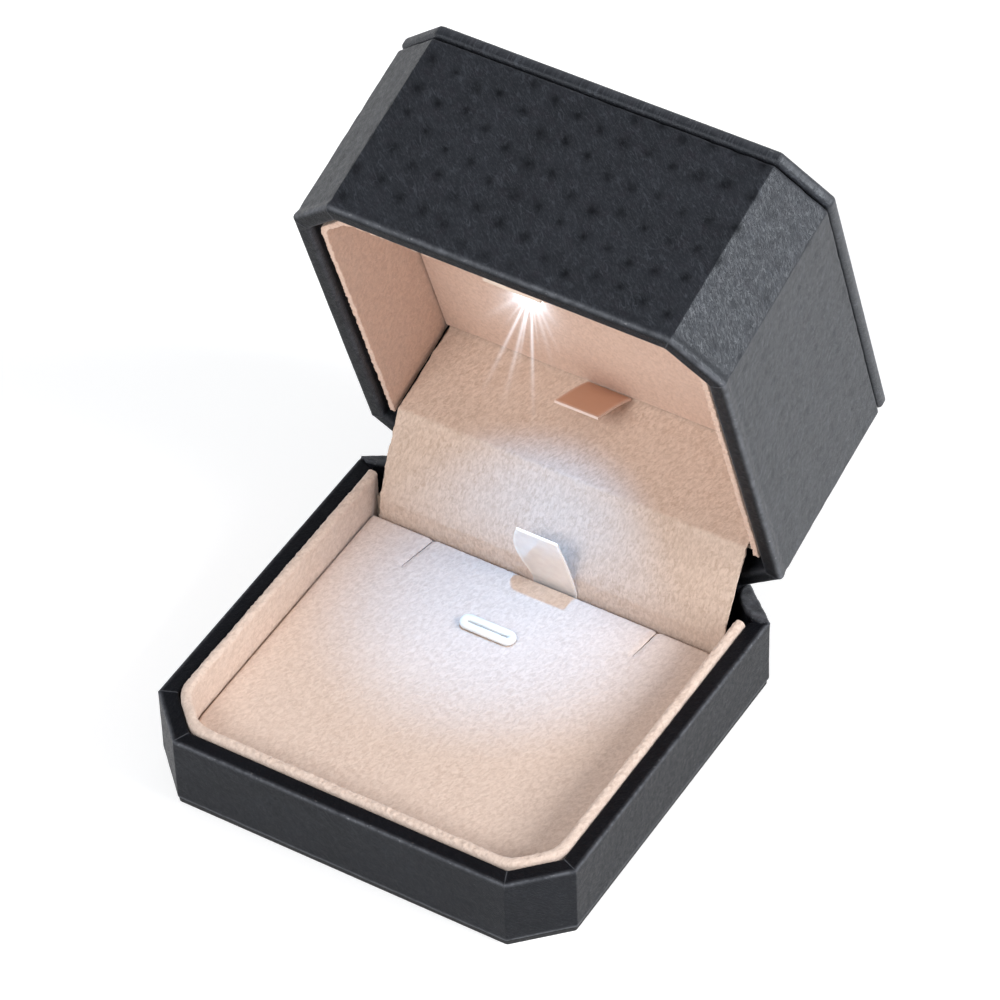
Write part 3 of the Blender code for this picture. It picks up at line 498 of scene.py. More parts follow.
def film(name, colour, roughness, see_through, lit_edge=0.0):
    """Plastic film with a faint ripple and a painted highlight along its cut edges, which are paler and may
    also glow.
    """
    look = Shader(name, colour, roughness)
    ripple = look.noise(2.5 * MM, 2.0)
    look.give("Transmission Weight", look.spread(ripple, 0.2, 0.8, see_through * 0.93, see_through * 1.07))
    look.give("IOR", 1.25)
    look.give("Roughness", look.spread(ripple, 0.3, 0.7, roughness * 0.8, roughness * 1.3))
    # Painted highlight: the marked edges are paler and, with lit_edge, glow.
    edge = look.maths("MULTIPLY", look.attribute("edge"), 0.8)
    look.give("Base Color", look.blend(edge, colour, tuple(value + (1.0 - value) * 0.45 for value in colour)))
    look.give("Emission Color", (0.9, 0.95, 1.0, 1.0))
    look.give("Emission Strength", look.maths("MULTIPLY", edge, lit_edge))
    return look.material


def glowing(name, colour, glow, strength):
    """A lit surface, a little uneven."""
    look = Shader(name, colour, 0.2)
    patchy = look.noise(0.5 * MM, 2.0)
    look.give("Emission Color", (*glow, 1.0))
    look.give("Emission Strength", look.spread(patchy, 0.3, 0.7, strength * 0.9, strength * 1.1))
    return look.material


BASE_LEATHER = leather("base_leather", (0.0052, 0.0057, 0.0081), (0.0135, 0.0155, 0.0215), 0.17, 0.5,
                       0.03 * MM)
LID_LEATHER = leather("lid_leather", (0.0115, 0.0125, 0.0162), (0.040, 0.044, 0.053), 0.46, 0.85, 0.04 * MM)
VELVET = velvet("velvet", (0.73, 0.592, 0.508), (0.58, 0.447, 0.372), (1.5, 0.8, 1.0))
# Painted shade: a darker, warmer copy of the same velvet for inside the lid, where less light reaches.
SHADED_LID_VELVET = velvet("lid_velvet", (0.69, 0.487, 0.383), (0.55, 0.367, 0.280), (1.5, 0.8, 1.0))
CURTAIN_VELVET = velvet("curtain_velvet", (0.70, 0.551, 0.456), (0.515, 0.377, 0.295), (1.7, 0.8, 0.8))

# The looks of the small hard pieces: colour, roughness, then the grain's size and depth, the metal's share
# and the way it is brushed.
MOULDED = {
    "shell_plastic": ((0.018, 0.018, 0.02), 0.5),
    "black_card": ((0.012, 0.012, 0.014), 0.75, 0.35 * MM, 0.03 * MM),
    "card": ((0.30, 0.24, 0.19), 0.9, 0.4 * MM, 0.04 * MM),
    "hinge_steel": ((0.66, 0.63, 0.58), 0.3, 0.25 * MM, 0.01 * MM, 1.0, BRUSHED),
    "spring_steel": ((0.55, 0.55, 0.56), 0.32, 0.2 * MM, 0.01 * MM, 1.0, BRUSHED),
    "white_plastic": ((0.86, 0.86, 0.85), 0.32),
    "cream_plastic": ((0.72, 0.58, 0.48), 0.5),
    "circuit_board": ((0.02, 0.12, 0.045), 0.4),
    "cell_steel": ((0.62, 0.62, 0.61), 0.28, 0.3 * MM, 0.01 * MM, 1.0),
    "contact_brass": ((0.72, 0.52, 0.20), 0.3, 0.3 * MM, 0.01 * MM, 1.0, BRUSHED),
    "red_wire": ((0.42, 0.015, 0.015), 0.4),
    "black_wire": ((0.012, 0.012, 0.012), 0.4),
}
SLOT_LOOKS = {name: moulded(name, *settings) for name, settings in MOULDED.items()} | {
    "leather": BASE_LEATHER,
    "velvet": VELVET,
    "clear_film": film("clear_film", (0.97, 0.98, 1.0), 0.16, 0.9),
    "diode": glowing("diode", (0.95, 0.95, 0.9), (0.85, 0.9, 1.0), 30.0),
    "lens": glowing("lens", (0.95, 0.97, 1.0), (0.93, 0.95, 1.0), 14.0),
}


def dress_cad_nodes():
    """Every CAD node that stays gets the procedural look of its slot."""
    for node in frame["nodes"].values():
        for slot in node.material_slots:
            slot.material = SLOT_LOOKS[slot.material.name.split(".")[0]]


# ---- Leather pieces ----

SKIN = 0.5 * MM
SEAM = 0.3 * MM
TURN_IN = 8.0 * MM
EDGE_RADIUS = 0.45 * MM
SEAM_LIFT = 0.07 * MM
STRIP_THICKNESS = 0.3 * MM


def mark(obj, name, values):
    """Keeps one number for each point, for the material to read."""
    layer = obj.data.attributes.new(name, "FLOAT", "POINT")
    layer.data.foreach_set("value", np.asarray(values, dtype=float).ravel())


def fold_line(section, inset, height, width):
    """How near each point of a profile is to one place on it, 1 at that place."""
    return bump(np.hypot(section[:, 0] - inset, section[:, 1] - height), width)


def corner_seams(grid, outer_rows, steps):
    """How near each point of the outer rows is to a corner of the octagon, 1 on the corner line."""
    side, chamfer = steps
    columns = grid.shape[1]
    near = np.zeros(columns)
    position = 0
    for count in [chamfer, side] * 4:
        position += count + 1
        middle = position + 1.5
        near = np.maximum(near, bump(np.arange(columns) - middle, 1.3))
        position += 4
    return np.where(np.arange(grid.shape[0])[:, None] < outer_rows, near[None, :], 0.0)


def rear_folds(grid):
    """The rear chamfers' rim: a lens-shaped patch of folded leather, and the pocket behind it."""
    inward = (2.0 * HALF - LEG - np.abs(grid[..., 0]) - grid[..., 1]) / math.sqrt(2.0)
    along = np.abs(grid[..., 1] - np.abs(grid[..., 0])) / math.sqrt(2.0)
    half_length = LEG / math.sqrt(2.0)
    bulge = unit(1.0 - (along / half_length) ** 2) ** 0.6
    past_patch = unit((inward - 3.4 * MM * bulge) / (0.5 * MM))
    past_corner = along - half_length + inward * math.tan(EIGHTH / 2.0)
    at_chamfer = unit(1.0 - past_corner / (0.8 * MM)) * (grid[..., 1] > 0.0)
    return (1.0 - past_patch) * (past_corner < 0.0) * at_chamfer, past_patch * at_chamfer


def base_leather():
    """Leather from under the base, up its walls, over the rim and down inside."""
    foot, rim = WRAP_LOW[2], WRAP_HIGH[2]
    rim_width = HALF - LINER_HIGH[0] - SEAM
    inner = rim - 7.0 * MM
    line = path([(TURN_IN, foot), (0.0, foot), (0.0, rim), (rim_width, rim), (rim_width, inner)],
                [0.45 * MM, 0.42 * MM, 0.40 * MM], 0.42 * MM)
    section, outer_rows = closed_section(line, SKIN)
    steps = (170, 34)
    grid = swept(section, EDGE_RADIUS, steps)
    rear_start = HALF - LEG
    wrap = cad_points("base_wrap")
    rear_drop = rim - wrap[wrap[:, 1] > HALF - MM][:, 2].max()
    fall = np.clip(grid[..., 1] - rear_start, 0.0, None) * rear_drop / LEG
    grid[..., 2] -= fall * (grid[..., 2] - foot) / (rim - foot)

    outer = (np.arange(len(grid)) < outer_rows)[:, None]
    below_rim = rim - fall - grid[..., 2]
    on_rim = outer * unit(1.2 - below_rim / MM)
    seams = corner_seams(grid, outer_rows, steps)
    waves = uneven(grid, (0.05, 9.0, 1), (0.03, 2.4, 2))
    patch, pocket = rear_folds(grid)
    lift = waves * outer * (1.0 - 0.6 * on_rim) + SEAM_LIFT * seams * on_rim
    lift += (uneven(grid, (0.10, 1.3, 3)) + 0.10 * MM) * patch * on_rim
    grid += normals(grid, True) * lift[..., None]
    grid[..., 2] -= 0.7 * MM * pocket * on_rim
    piece = tube("base_leather", grid, BASE_LEATHER)
    # The rim and foot fold lines and the corner seams are marked for painted highlight lines and worn specks.
    rim_line = fold_line(section, 0.0, rim, 0.40 * MM)
    foot_line = fold_line(section, 0.0, foot + 0.2 * MM, 0.35 * MM)
    edge = np.maximum(np.maximum(rim_line, foot_line)[:, None], 0.75 * seams * on_rim)
    # The folded patch on the rear chamfers is paler: a painted reflection of the light it catches.
    patch_painted_sheen = (0.65 + 0.35 * noise(grid, 1.2 * MM, 5)) * patch * on_rim
    mark(piece, "edge", np.maximum(edge, patch_painted_sheen) * outer)
    on_top = unit(1.0 - below_rim / (0.15 * MM))
    mark(piece, "shade", np.maximum(0.35 * on_top * (1.0 - patch), 0.9 * pocket * on_rim) * outer)
    stand_for(piece, "base", "base_wrap")


# How far apart the ostrich marks lie across and up, how far each may stray as a share of that, and how
# much of a row's step each row is moved along.
QUILL_SPACING = (5.3 * MM, 6.6 * MM)
QUILL_JITTER = 0.20
QUILL_STAGGER = 0.17


def quill_marks(across, up, seed):
    """Ostrich quill marks on an unrolled surface: a staggered, uneven grid, 1 in each mark's middle."""
    spacing = QUILL_SPACING
    column = across / spacing[0]
    row = up / spacing[1]
    marks = np.zeros(np.broadcast(across, up).shape)
    base_row = np.floor(row)
    for row_step in (-1, 0, 1):
        at_row = base_row + row_step
        shift = at_row * QUILL_STAGGER
        base_column = np.floor(column - shift)
        for column_step in (-1, 0, 1):
            at_column = base_column + column_step
            key = np.stack([at_column, at_row, np.full_like(at_row, seed)], axis=-1)
            jitter_x = QUILL_JITTER * noise(key, 1.0, 5)
            jitter_y = QUILL_JITTER * noise(key, 1.0, 6)
            size = 1.15 + 0.35 * noise(key, 1.0, 7)
            strength = np.clip(0.78 + 0.3 * noise(key, 1.0, 8), 0.4, 1.0)
            away_x = (column - shift - at_column - 0.5 - jitter_x) * spacing[0]
            away_y = (row - at_row - 0.5 - jitter_y) * spacing[1]
            away = np.hypot(away_x, away_y)
            marks = np.maximum(marks, strength * bump(away, MM * size))
    return marks


def lid_leather():
    """Leather from inside the lid's rim, round its lip, up the walls and in under the top board."""
    low, high = LID_LOW[2], LID_HIGH[2]
    rim_width = HALF - LID_LINER_HIGH[0] - 1.3 * MM
    line = path([(rim_width, low + 7.0 * MM), (rim_width, low), (0.0, low), (0.0, high), (TURN_IN, high)],
                [0.7 * MM, 0.9 * MM, 0.7 * MM], 0.36 * MM)
    section, outer_rows = closed_section(line, SKIN)
    steps = (210, 38)
    grid = swept(section, EDGE_RADIUS, steps)
    outer = (np.arange(len(grid)) < outer_rows)[:, None]
    above_lip = grid[..., 2] - low
    wall = outer * unit(above_lip / (1.5 * MM) - 1.2)
    front = unit((-grid[..., 1] - HALF + 0.6 * MM) / (0.4 * MM))
    elsewhere = 0.28 * (1.0 - front)
    across = lengths(grid[outer_rows // 2], True)[:-1][None, :] + 0.0 * grid[..., 0]
    climb = 0.25 * np.clip(10.0 * MM - grid[..., 0], 0.0, HALF)
    quills = quill_marks(across, grid[..., 2] - climb * front, 11) * wall * (front + elsewhere)
    seams = corner_seams(grid, outer_rows, steps)
    on_rim = outer * unit(1.4 - above_lip / MM)
    waves = uneven(grid, (0.05, 8.0, 21), (0.03, 1.7, 22))
    lip = 0.16 * MM * bump(above_lip - 1.1 * MM, 0.7 * MM)
    groove = 0.10 * MM * bump(above_lip - 2.6 * MM, 0.6 * MM)
    lift = (waves * (1.0 - 0.6 * on_rim) + lip - groove) * outer
    lift = lift - 0.26 * MM * quills + SEAM_LIFT * seams * on_rim
    grid += normals(grid, True) * lift[..., None]

    knuckle_room = span("hinge_pin")[1][0] + 1.5 * MM
    notch = HINGE_Z + 2.1 * MM
    rear = (grid[..., 1] > HINGE_Y - 4.0 * MM) & (np.abs(grid[..., 0]) < knuckle_room)
    grid[..., 2] = np.where(rear, np.maximum(grid[..., 2], notch + 0.02 * (grid[..., 2] - low)), grid[..., 2])

    piece = tube("lid_leather", opened(grid), LID_LEATHER)
    lip_band = 0.8 * unit(1.0 - above_lip / (0.8 * MM)) * outer
    blotchy = 0.78 + 0.3 * noise(grid, 0.6 * MM, 25)
    mark(piece, "shade", np.maximum(quills * unit(blotchy), lip_band))
    # The lip's folds, the top line and the corner seams are marked for painted highlight lines and worn
    # specks.
    outer_fold = fold_line(section, 0.0, low + 0.5 * MM, 0.42 * MM)
    inner_fold = 0.7 * fold_line(section, rim_width, low, 0.5 * MM)
    top_line = 0.7 * fold_line(section, 0.0, high, 0.35 * MM)
    folds = np.maximum(np.maximum(outer_fold, inner_fold), top_line)[:, None]
    folds = folds * (0.75 + 0.35 * noise(grid, 1.5 * MM, 24))
    edge = np.maximum(folds, 0.7 * seams * on_rim)
    mark(piece, "edge", unit(edge) * outer)
    stand_for(piece, "lid", "lid_wrap")


def edge_spacing(low, high, radius, step, bends=4):
    """Places from low to high, closer together near both ends, where an edge is rounded."""
    near = [radius * (1.0 - math.cos(math.pi / 2.0 * k / bends)) for k in range(bends)]
    count = max(2, round((high - low - 2.0 * radius) / step))
    middle = np.linspace(low + radius, high - radius, count + 1)
    return np.concatenate([low + np.array(near), middle, (high - np.array(near))[::-1]])


def plate(inset, corner, radius, step, rear=None):
    """A grid over the octagon with rounded corners, and how far each point lies from its edge."""
    a = HALF - inset
    outline = octagon(inset, corner, (1, 1), rear, arc_steps=8)
    front_half = outline[outline[:, 1] < 0.0]
    front_half = front_half[np.argsort(front_half[:, 0])]
    across = edge_spacing(-a, a, radius, step)
    along = (edge_spacing(-1.0, 1.0, radius / a, step / a) + 1.0) / 2.0
    front = np.interp(across, front_half[:, 0], front_half[:, 1])
    back = -front if rear is None else np.full_like(across, rear)
    x = np.repeat(across[None, :], len(along), axis=0)
    y = front + (back - front) * along[:, None]
    place = np.stack([x, y], axis=-1)
    inward = np.full(x.shape, HALF)
    for start, end in zip(outline, np.roll(outline, -1, axis=0)):
        inward = np.minimum(inward, from_line(place, start, end))
    return place, inward


def rounded_drop(distance, radius):
    """How far a rounded edge lies below the flat at a distance from the rim."""
    near = np.clip(radius - distance, 0.0, radius)
    return radius - np.sqrt(radius * radius - near * near)


def slab(place, top, bottom):
    """The points and faces of a closed plate, from a grid of places with the heights of its two sides."""
    points = np.vstack([np.dstack([place, height]).reshape(-1, 3) for height in (top, bottom)])
    index = np.arange(top.size).reshape(top.shape)
    faces = quads(index, facing_up=True) + quads(index + top.size)
    rim = np.concatenate([index[0, :-1], index[:-1, -1], index[-1, :0:-1], index[:0:-1, 0]])
    after = np.roll(rim, -1)
    faces += np.stack([after, rim, rim + top.size, after + top.size], -1).tolist()
    return points, faces


def top_leather():
    """The separate padded board on top of the lid, in its own ostrich skin."""
    low, high = TOP_LOW[2], TOP_HIGH[2]
    radius = 1.0 * MM
    place, inward = plate(-0.1 * MM, EDGE_RADIUS, radius, 0.5 * MM)
    grid_start = -0.3
    quills = quill_marks(place[..., 0] - grid_start, place[..., 1] - grid_start, 31)
    quills = quills * unit((inward - 2.0 * MM) / (2.0 * MM))
    at = np.dstack([place, np.full(inward.shape, high)])
    waves = uneven(at, (0.05, 9.0, 32), (0.02, 1.6, 33))
    top = high - rounded_drop(inward, radius) - 0.16 * MM * quills
    top += waves * unit(inward / (2.0 * MM))
    bottom = low + rounded_drop(inward, 0.9 * MM)
    points, faces = slab(place, top, bottom)
    piece = mesh_piece("top_leather", opened(points), faces, LID_LEATHER, points[np.ravel(faces), :2])
    mark(piece, "shade", np.concatenate([quills.ravel(), np.zeros(quills.size)]))
    # A painted highlight line just inside the board's edge.
    rim = 0.4 * bump(inward - 0.15 * MM, 0.25 * MM).ravel()
    mark(piece, "edge", np.concatenate([rim, 0.0 * rim]))
    stand_for(piece, "lid", "top_cover")


def hinge_leather():
    """The thin strip of leather across the rear gap, curved as it lies at rest."""
    low, high = span("hinge_strip")
    t = np.linspace(0.0, 1.0, 9)
    y = high[1] + (low[1] - high[1]) * t
    z = low[2] + (high[2] - low[2]) * (1.0 - (1.0 - t) ** 1.6)
    line = np.column_stack([y, z])
    ways = directions(line)
    under = line + np.column_stack([ways[:, 1], -ways[:, 0]]) * STRIP_THICKNESS
    grid = drawn_out(np.vstack([line, under[::-1]]), np.linspace(low[0], high[0], 160))
    grid[..., 2] += uneven(grid, (0.05, 3.0, 41))
    piece = tube("hinge_leather", grid, BASE_LEATHER, round_columns=False)
    for name in ("edge", "shade"):
        mark(piece, name, np.zeros(grid.shape[:2]))
    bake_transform(piece)
    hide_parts("hinge_strip")


# ---- Velvet pieces ----

LINING_CORNER = 6.5 * MM
LID_LINING_CORNER = 4.0 * MM


def nap(points, seed, depth=0.06 * MM):
    """The uneven surface of short pile."""
    return depth * (noise(points, 0.55 * MM, seed) + 0.7 * noise(points, 1.4 * MM, seed + 1))


def velvet_strip(name, low, high, outer, inner, radius, rear, in_lid, seed):
    """A velvet-covered strip that stands inside the walls, with a soft fuzzy edge."""
    soft = (inner - outer) * 0.46
    seam = (inner - soft, low)
    section = [seam, (outer, low), (outer, high), (inner, high), (inner, low), seam]
    line = path(section, [0.2 * MM, soft, soft, 0.2 * MM], 0.42 * MM, 7)[:-1]
    grid = swept(line, radius, (250, 30), rear)
    grid += normals(grid, False) * nap(grid, seed)[..., None]
    waves = uneven(grid, (0.10, 7.0, seed + 5), (0.19, 0.5, seed + 6))
    if in_lid:
        free_edge = 1.0 - unit((grid[..., 2] - low) / (3.0 * MM))
        clearance = 0.2 * MM
    else:
        free_edge = unit((grid[..., 2] - high) / (3.0 * MM) + 1.0)
        clearance = -0.1 * MM
    grid[..., 2] += (waves + clearance) * free_edge
    if in_lid:
        stand_for(tube(name, opened(grid), SHADED_LID_VELVET, round_columns=False), "lid", "lid_liner")
    else:
        stand_for(tube(name, grid, VELVET, round_columns=False), "base", "base_liner")


def liners():
    """The velvet strips round the base and round the lid."""
    inner = HALF - LINER_HIGH[0] + 1.8 * MM
    velvet_strip("base_velvet_strip", LINER_LOW[2], LINER_HIGH[2] + 0.1 * MM, inner - 2.02 * MM, inner,
                 LINING_CORNER, LINER_HIGH[1], False, 51)
    outer = HALF - LID_LINER_HIGH[0]
    velvet_strip("lid_velvet_strip", LID_LINER_LOW[2], LID_LINER_HIGH[2], outer, outer + 1.2 * MM,
                 LID_LINING_CORNER, LID_LINER_HIGH[1], True, 61)


def cutter(name, outline, low, high):
    """A prism to cut with, from a flat outline."""
    shape = bmesh.new()
    bottom = [shape.verts.new((x, y, low)) for x, y in outline]
    face = shape.faces.new(bottom)
    raised = bmesh.ops.extrude_face_region(shape, geom=[face])["geom"]
    for vertex in raised:
        if isinstance(vertex, bmesh.types.BMVert):
            vertex.co.z = high
    bmesh.ops.recalc_face_normals(shape, faces=shape.faces)
    mesh = bpy.data.meshes.new(name)
    shape.to_mesh(mesh)
    shape.free()
    return link(bpy.data.objects.new(name, mesh))


def cut(piece, *cutters):
    """Cuts the shapes out of a piece and removes them."""
    for tool in cutters:
        cutting = piece.modifiers.new(tool.name, "BOOLEAN")
        cutting.operation = "DIFFERENCE"
        cutting.object = tool
        cutting.solver = "EXACT"
    graph = bpy.context.evaluated_depsgraph_get()
    mesh = bpy.data.meshes.new_from_object(piece.evaluated_get(graph))
    piece.modifiers.clear()
    piece.data = mesh
    mesh.set_sharp_from_angle(angle=SHARP)
    for tool in cutters:
        bpy.data.objects.remove(tool)


def stadium(centre, length, width, bends=10):
    """A long hole with round ends, along X."""
    radius = width / 2.0
    reach = length / 2.0 - radius
    points = []
    for side, start in ((1.0, -90.0), (-1.0, 90.0)):
        for k in range(bends + 1):
            angle = math.radians(start + 180.0 * k / bends)
            points.append((centre[0] + side * reach + radius * math.cos(angle),
                           centre[1] + radius * math.sin(angle)))
    return points


# The two slits in the pad's rear edge: where each starts and ends, seen from above.
SLITS = (((-24.9 * MM, 31.0 * MM), (-27.0 * MM, 20.5 * MM)), ((24.4 * MM, 31.0 * MM), (23.2 * MM, 21.8 * MM)))


def from_line(place, start, end):
    """How far points lie from a straight line between two places."""
    start, way = np.array(start), np.array(end) - np.array(start)
    t = unit(((place - start) @ way) / (way @ way))
    return np.linalg.norm(place - start - t[..., None] * way, axis=-1)


def pad_velvet():
    """The velvet pad: a soft face with rounded edges, two slits and the hole for the ring slot."""
    radius = 0.8 * MM
    low, high = PAD_LOW[2], PAD_HIGH[2]
    inset = HALF - PAD_HIGH[0]
    place, inward = plate(inset, LINING_CORNER, radius, 0.42 * MM, PAD_HIGH[1])
    at = np.dstack([place, np.full(inward.shape, high)])
    soft = nap(at, 71) + uneven(at, (0.08, 11.0, 73))
    top = high - rounded_drop(inward, radius) + soft * unit(inward / MM)
    for start, end in SLITS:
        top -= 0.45 * MM * bump(from_line(place, start, end), 0.55 * MM)
    centre = (SLOT_LOW[:2] + SLOT_HIGH[:2]) / 2.0
    reach = (SLOT_HIGH[0] - SLOT_LOW[0]) / 2.0 - 1.75 * MM
    ends = (centre - np.array([reach, 0.0]), centre + np.array([reach, 0.0]))
    top -= 0.22 * MM * bump(np.maximum(from_line(place, *ends) - 1.2 * MM, 0.0), 0.7 * MM)
    bottom = np.full(inward.shape, low)
    points, faces = slab(place, top, bottom)
    piece = mesh_piece("pad_velvet", points, faces, VELVET)
    tools = [cutter("slot_hole", stadium(centre, 11.4 * MM, 2.9 * MM), low - MM, high + 2.0 * MM)]
    for number, (start, end) in enumerate(np.array(SLITS)):
        way = end - start
        across = np.array([-way[1], way[0]]) / np.linalg.norm(way) * 0.2 * MM
        outline = [start - across, end - across * 0.3, end + across * 0.3, start + across]
        tools.append(cutter(f"slit_{number}", outline, low + MM, high + 2.0 * MM))
    cut(piece, *tools)
    stand_for(piece, "insert", "pad")


def ceiling_velvet():
    """The velvet panel that closes the lid's inside."""
    radius = 0.4 * MM
    low, high = CEILING_LOW[2], CEILING_HIGH[2]
    place, inward = plate(HALF - CEILING_HIGH[0], LID_LINING_CORNER, radius, 0.6 * MM, CEILING_HIGH[1])
    at = np.dstack([place, np.full(inward.shape, low)])
    soft = (nap(at, 81) + uneven(at, (0.10, 12.0, 83))) * unit(inward / MM)
    bottom = low + 0.05 * MM + rounded_drop(inward, radius) + soft
    top = np.full(inward.shape, high)
    points, faces = slab(place, top, bottom)
    piece = mesh_piece("ceiling_velvet", opened(points), faces, SHADED_LID_VELVET)
    stand_for(piece, "ceiling", "ceiling_panel")


def curtain_velvet():
    """The velvet sheet from the base's rear card over the hinge to the lid's rear card."""
    card_low, card_high = span("base_rear_card")
    lid_card_low = span("lid_rear_card", True)[0]
    low, high = span("curtain")
    top = CEILING_LOW[2] + 0.45 * MM
    middle = card_low[1] - 0.55 * MM
    base_end = np.array([middle, card_high[2] + 0.3 * MM])
    lid_end = opened(np.array([0.0, middle, lid_card_low[2] - 1.0 * MM]))[1:]
    lid_top = opened(np.array([0.0, middle, top]))[1:]
    rise, climb = math.radians(80.0), math.radians(65.0)
    leave = base_end + 6.0 * MM * np.array([math.cos(rise), math.sin(rise)])
    arrive = lid_end - 5.0 * MM * np.array([math.cos(climb), math.sin(climb)])
    t = np.linspace(0.0, 1.0, 40)[:, None]
    over = ((1 - t) ** 3 * base_end + 3 * (1 - t) ** 2 * t * leave
            + 3 * (1 - t) * t ** 2 * arrive + t ** 3 * lid_end)
    lower = np.linspace((middle, low[2]), base_end, 28)[:-1]
    upper = np.linspace(lid_end, lid_top, 46)[1:]
    line = np.vstack([lower, over, upper])
    ways = directions(line)
    thickness = 0.5 * MM
    front_side = np.column_stack([-ways[:, 1], ways[:, 0]])
    front = line + front_side * thickness / 2.0
    picked = list(range(0, len(line), 3)) + [len(line) - 1]
    back = (line - front_side * thickness / 2.0)[sorted(set(picked))]
    loop = np.vstack([front, back[::-1]])
    columns = np.linspace(low[0], high[0], 190)
    grid = drawn_out(loop, columns)
    outer = (np.arange(len(loop)) < len(front))[:, None]
    free = np.zeros(len(loop))
    free[len(lower):len(lower) + len(over)] = np.sin(np.linspace(0.0, math.pi, len(over)))
    slack = 0.5 * MM * noise(grid * np.array([1.0, 0.3, 0.3]), 16.0 * MM, 91) * free[:, None]
    out = -normals(grid, False)
    grid += out * (slack + outer * nap(grid, 92, 0.05 * MM))[..., None]
    sides = np.linspace(-1.0, 1.0, len(columns))[None, :]
    ragged = uneven(grid, (0.45, 5.0, 95), (0.2, 0.8, 96)) - 0.35 * MM
    grid[..., 0] += np.sign(sides) * np.abs(sides) ** 12 * ragged
    piece = tube("curtain_velvet", grid[::-1], CURTAIN_VELVET, round_columns=False)
    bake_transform(piece)
    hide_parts("curtain")


# ---- Small hard pieces ----

def ring_slot():
    """The white slotted insert: a rounded flange round a narrow opening."""
    centre = (SLOT_LOW + SLOT_HIGH) / 2.0
    foot, rim = SLOT_LOW[2], SLOT_HIGH[2]
    reach = (SLOT_HIGH[0] - SLOT_LOW[0]) / 2.0
    half = (SLOT_HIGH[1] - SLOT_LOW[1]) / 2.0
    straight = reach - half
    flange_foot, flange_top = PAD_HIGH[2] + 0.12 * MM, rim + 0.25 * MM
    hole = 0.28 * MM
    stem = 1.15 * MM
    line = path([(hole, foot), (stem, foot), (stem, flange_foot), (half, flange_foot), (half, flange_top),
                 (hole, flange_top), (hole, foot)],
                [0.1 * MM, 0.1 * MM, 0.3 * MM, 0.5 * MM, 0.45 * MM], 0.25 * MM, 7)[:-1]
    bends, runs = 22, 30
    angles = np.linspace(-math.pi / 2.0, math.pi / 2.0, bends)
    loop = [(straight, math.cos(a), math.sin(a)) for a in angles]
    loop += [(straight - 2.0 * straight * k / runs, 0.0, 1.0) for k in range(1, runs)]
    loop += [(-straight, -math.cos(a), math.sin(a)) for a in angles[::-1]]
    loop += [(-straight + 2.0 * straight * k / runs, 0.0, -1.0) for k in range(1, runs)]
    loop = np.array(loop)
    grid = np.zeros((len(line), len(loop), 3))
    grid[..., 0] = centre[0] + loop[:, 0] + line[:, :1] * loop[:, 1]
    grid[..., 1] = centre[1] + line[:, :1] * loop[:, 2]
    grid[..., 2] = line[:, 1:]
    piece = tube("ring_slot", grid[::-1], SLOT_LOOKS["white_plastic"])
    stand_for(piece, "insert", "slot_insert")


def tab_rows(node, in_lid=False):
    """The rows of a thin CAD tab from the lowest up: each one's Z, middle Y, left X and right X."""
    points = cad_points(node, in_lid)
    points = points[np.argsort(points[:, 2])]
    starts = np.flatnonzero(np.diff(points[:, 2]) > 0.5 * MM) + 1
    rows = [(row[:, 2].mean(), row[:, 1].mean(), row[:, 0].min(), row[:, 0].max())
            for row in np.split(points, starts)]
    return np.array(rows).T


def tab(name, node, body, material, count, thickness, side_edges):
    """A smooth film along a CAD tab's rows, with its free end and, less strongly, its sides marked for the
    painted edge highlight.
    """
    columns = 26
    in_lid = body == "ceiling"
    z, y, left, right = tab_rows(node, in_lid)
    along = lengths(np.column_stack([y, z]), False)
    fine = np.linspace(0.0, along[-1], count)
    line = np.column_stack([np.interp(fine, along, y), np.interp(fine, along, z)])
    left, right = np.interp(fine, along, left), np.interp(fine, along, right)
    ways = directions(line)
    side = np.column_stack([-ways[:, 1], ways[:, 0]]) * thickness / 2.0
    loop = np.vstack([line + side, (line - side)[::-1]])
    share = edge_spacing(0.0, 1.0, 0.08, 1.0 / columns)
    x = left[:, None] + (right - left)[:, None] * share[None, :]
    x = np.vstack([x, x[::-1]])
    grid = np.dstack([x, np.repeat(loop[:, :1], x.shape[1], 1), np.repeat(loop[:, 1:], x.shape[1], 1)])
    cut_edge = np.minimum(share, 1.0 - share)[None, :] * (right - left).mean()
    free_end = np.abs(fine - (0.0 if in_lid else fine[-1]))
    free_end = np.concatenate([free_end, free_end[::-1]])[:, None]
    edge = np.maximum(side_edges * unit(1.0 - cut_edge / (0.6 * MM)),
                      unit(1.0 - free_end / (0.7 * MM)))
    piece = tube(name, opened(grid) if in_lid else grid, material, round_columns=False)
    mark(piece, "edge", edge)
    stand_for(piece, body, node)


def tabs():
    """The frosted tab at the pad's rear edge, and the clear one at the ceiling panel's, painted peach as a
    reflection of the velvet round it.
    """
    frosted = film("clear_tab", (0.96, 0.97, 1.0), 0.16, 0.68, 0.7)
    # A clear tab painted peach and opaque: a painted reflection of the velvet.
    peach_reflection_film = film("ceiling_tab", (0.60, 0.36, 0.25), 0.4, 0.0)
    tab("upright_tab", "pad_tab", "insert", frosted, 46, 0.3 * MM, 0.25)
    tab("hanging_tab", "ceiling_tab", "ceiling", peach_reflection_film, 30, 0.5 * MM, 0.8)


def springs():
    """The springs' own shapes in place of the CAD springs; the switch spring rides on the lid."""
    for node in ("hinge_spring_left", "hinge_spring_right"):
        piece = spring_copy(node)
        low, high = span(node)
        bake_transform(piece)
    piece = spring_copy("switch_spring")
    low, high = span("switch_spring", True)
    foot, top = opened(np.array([low, [low[0], low[1], high[2]]]))
    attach(piece, "lid")
    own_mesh(piece)


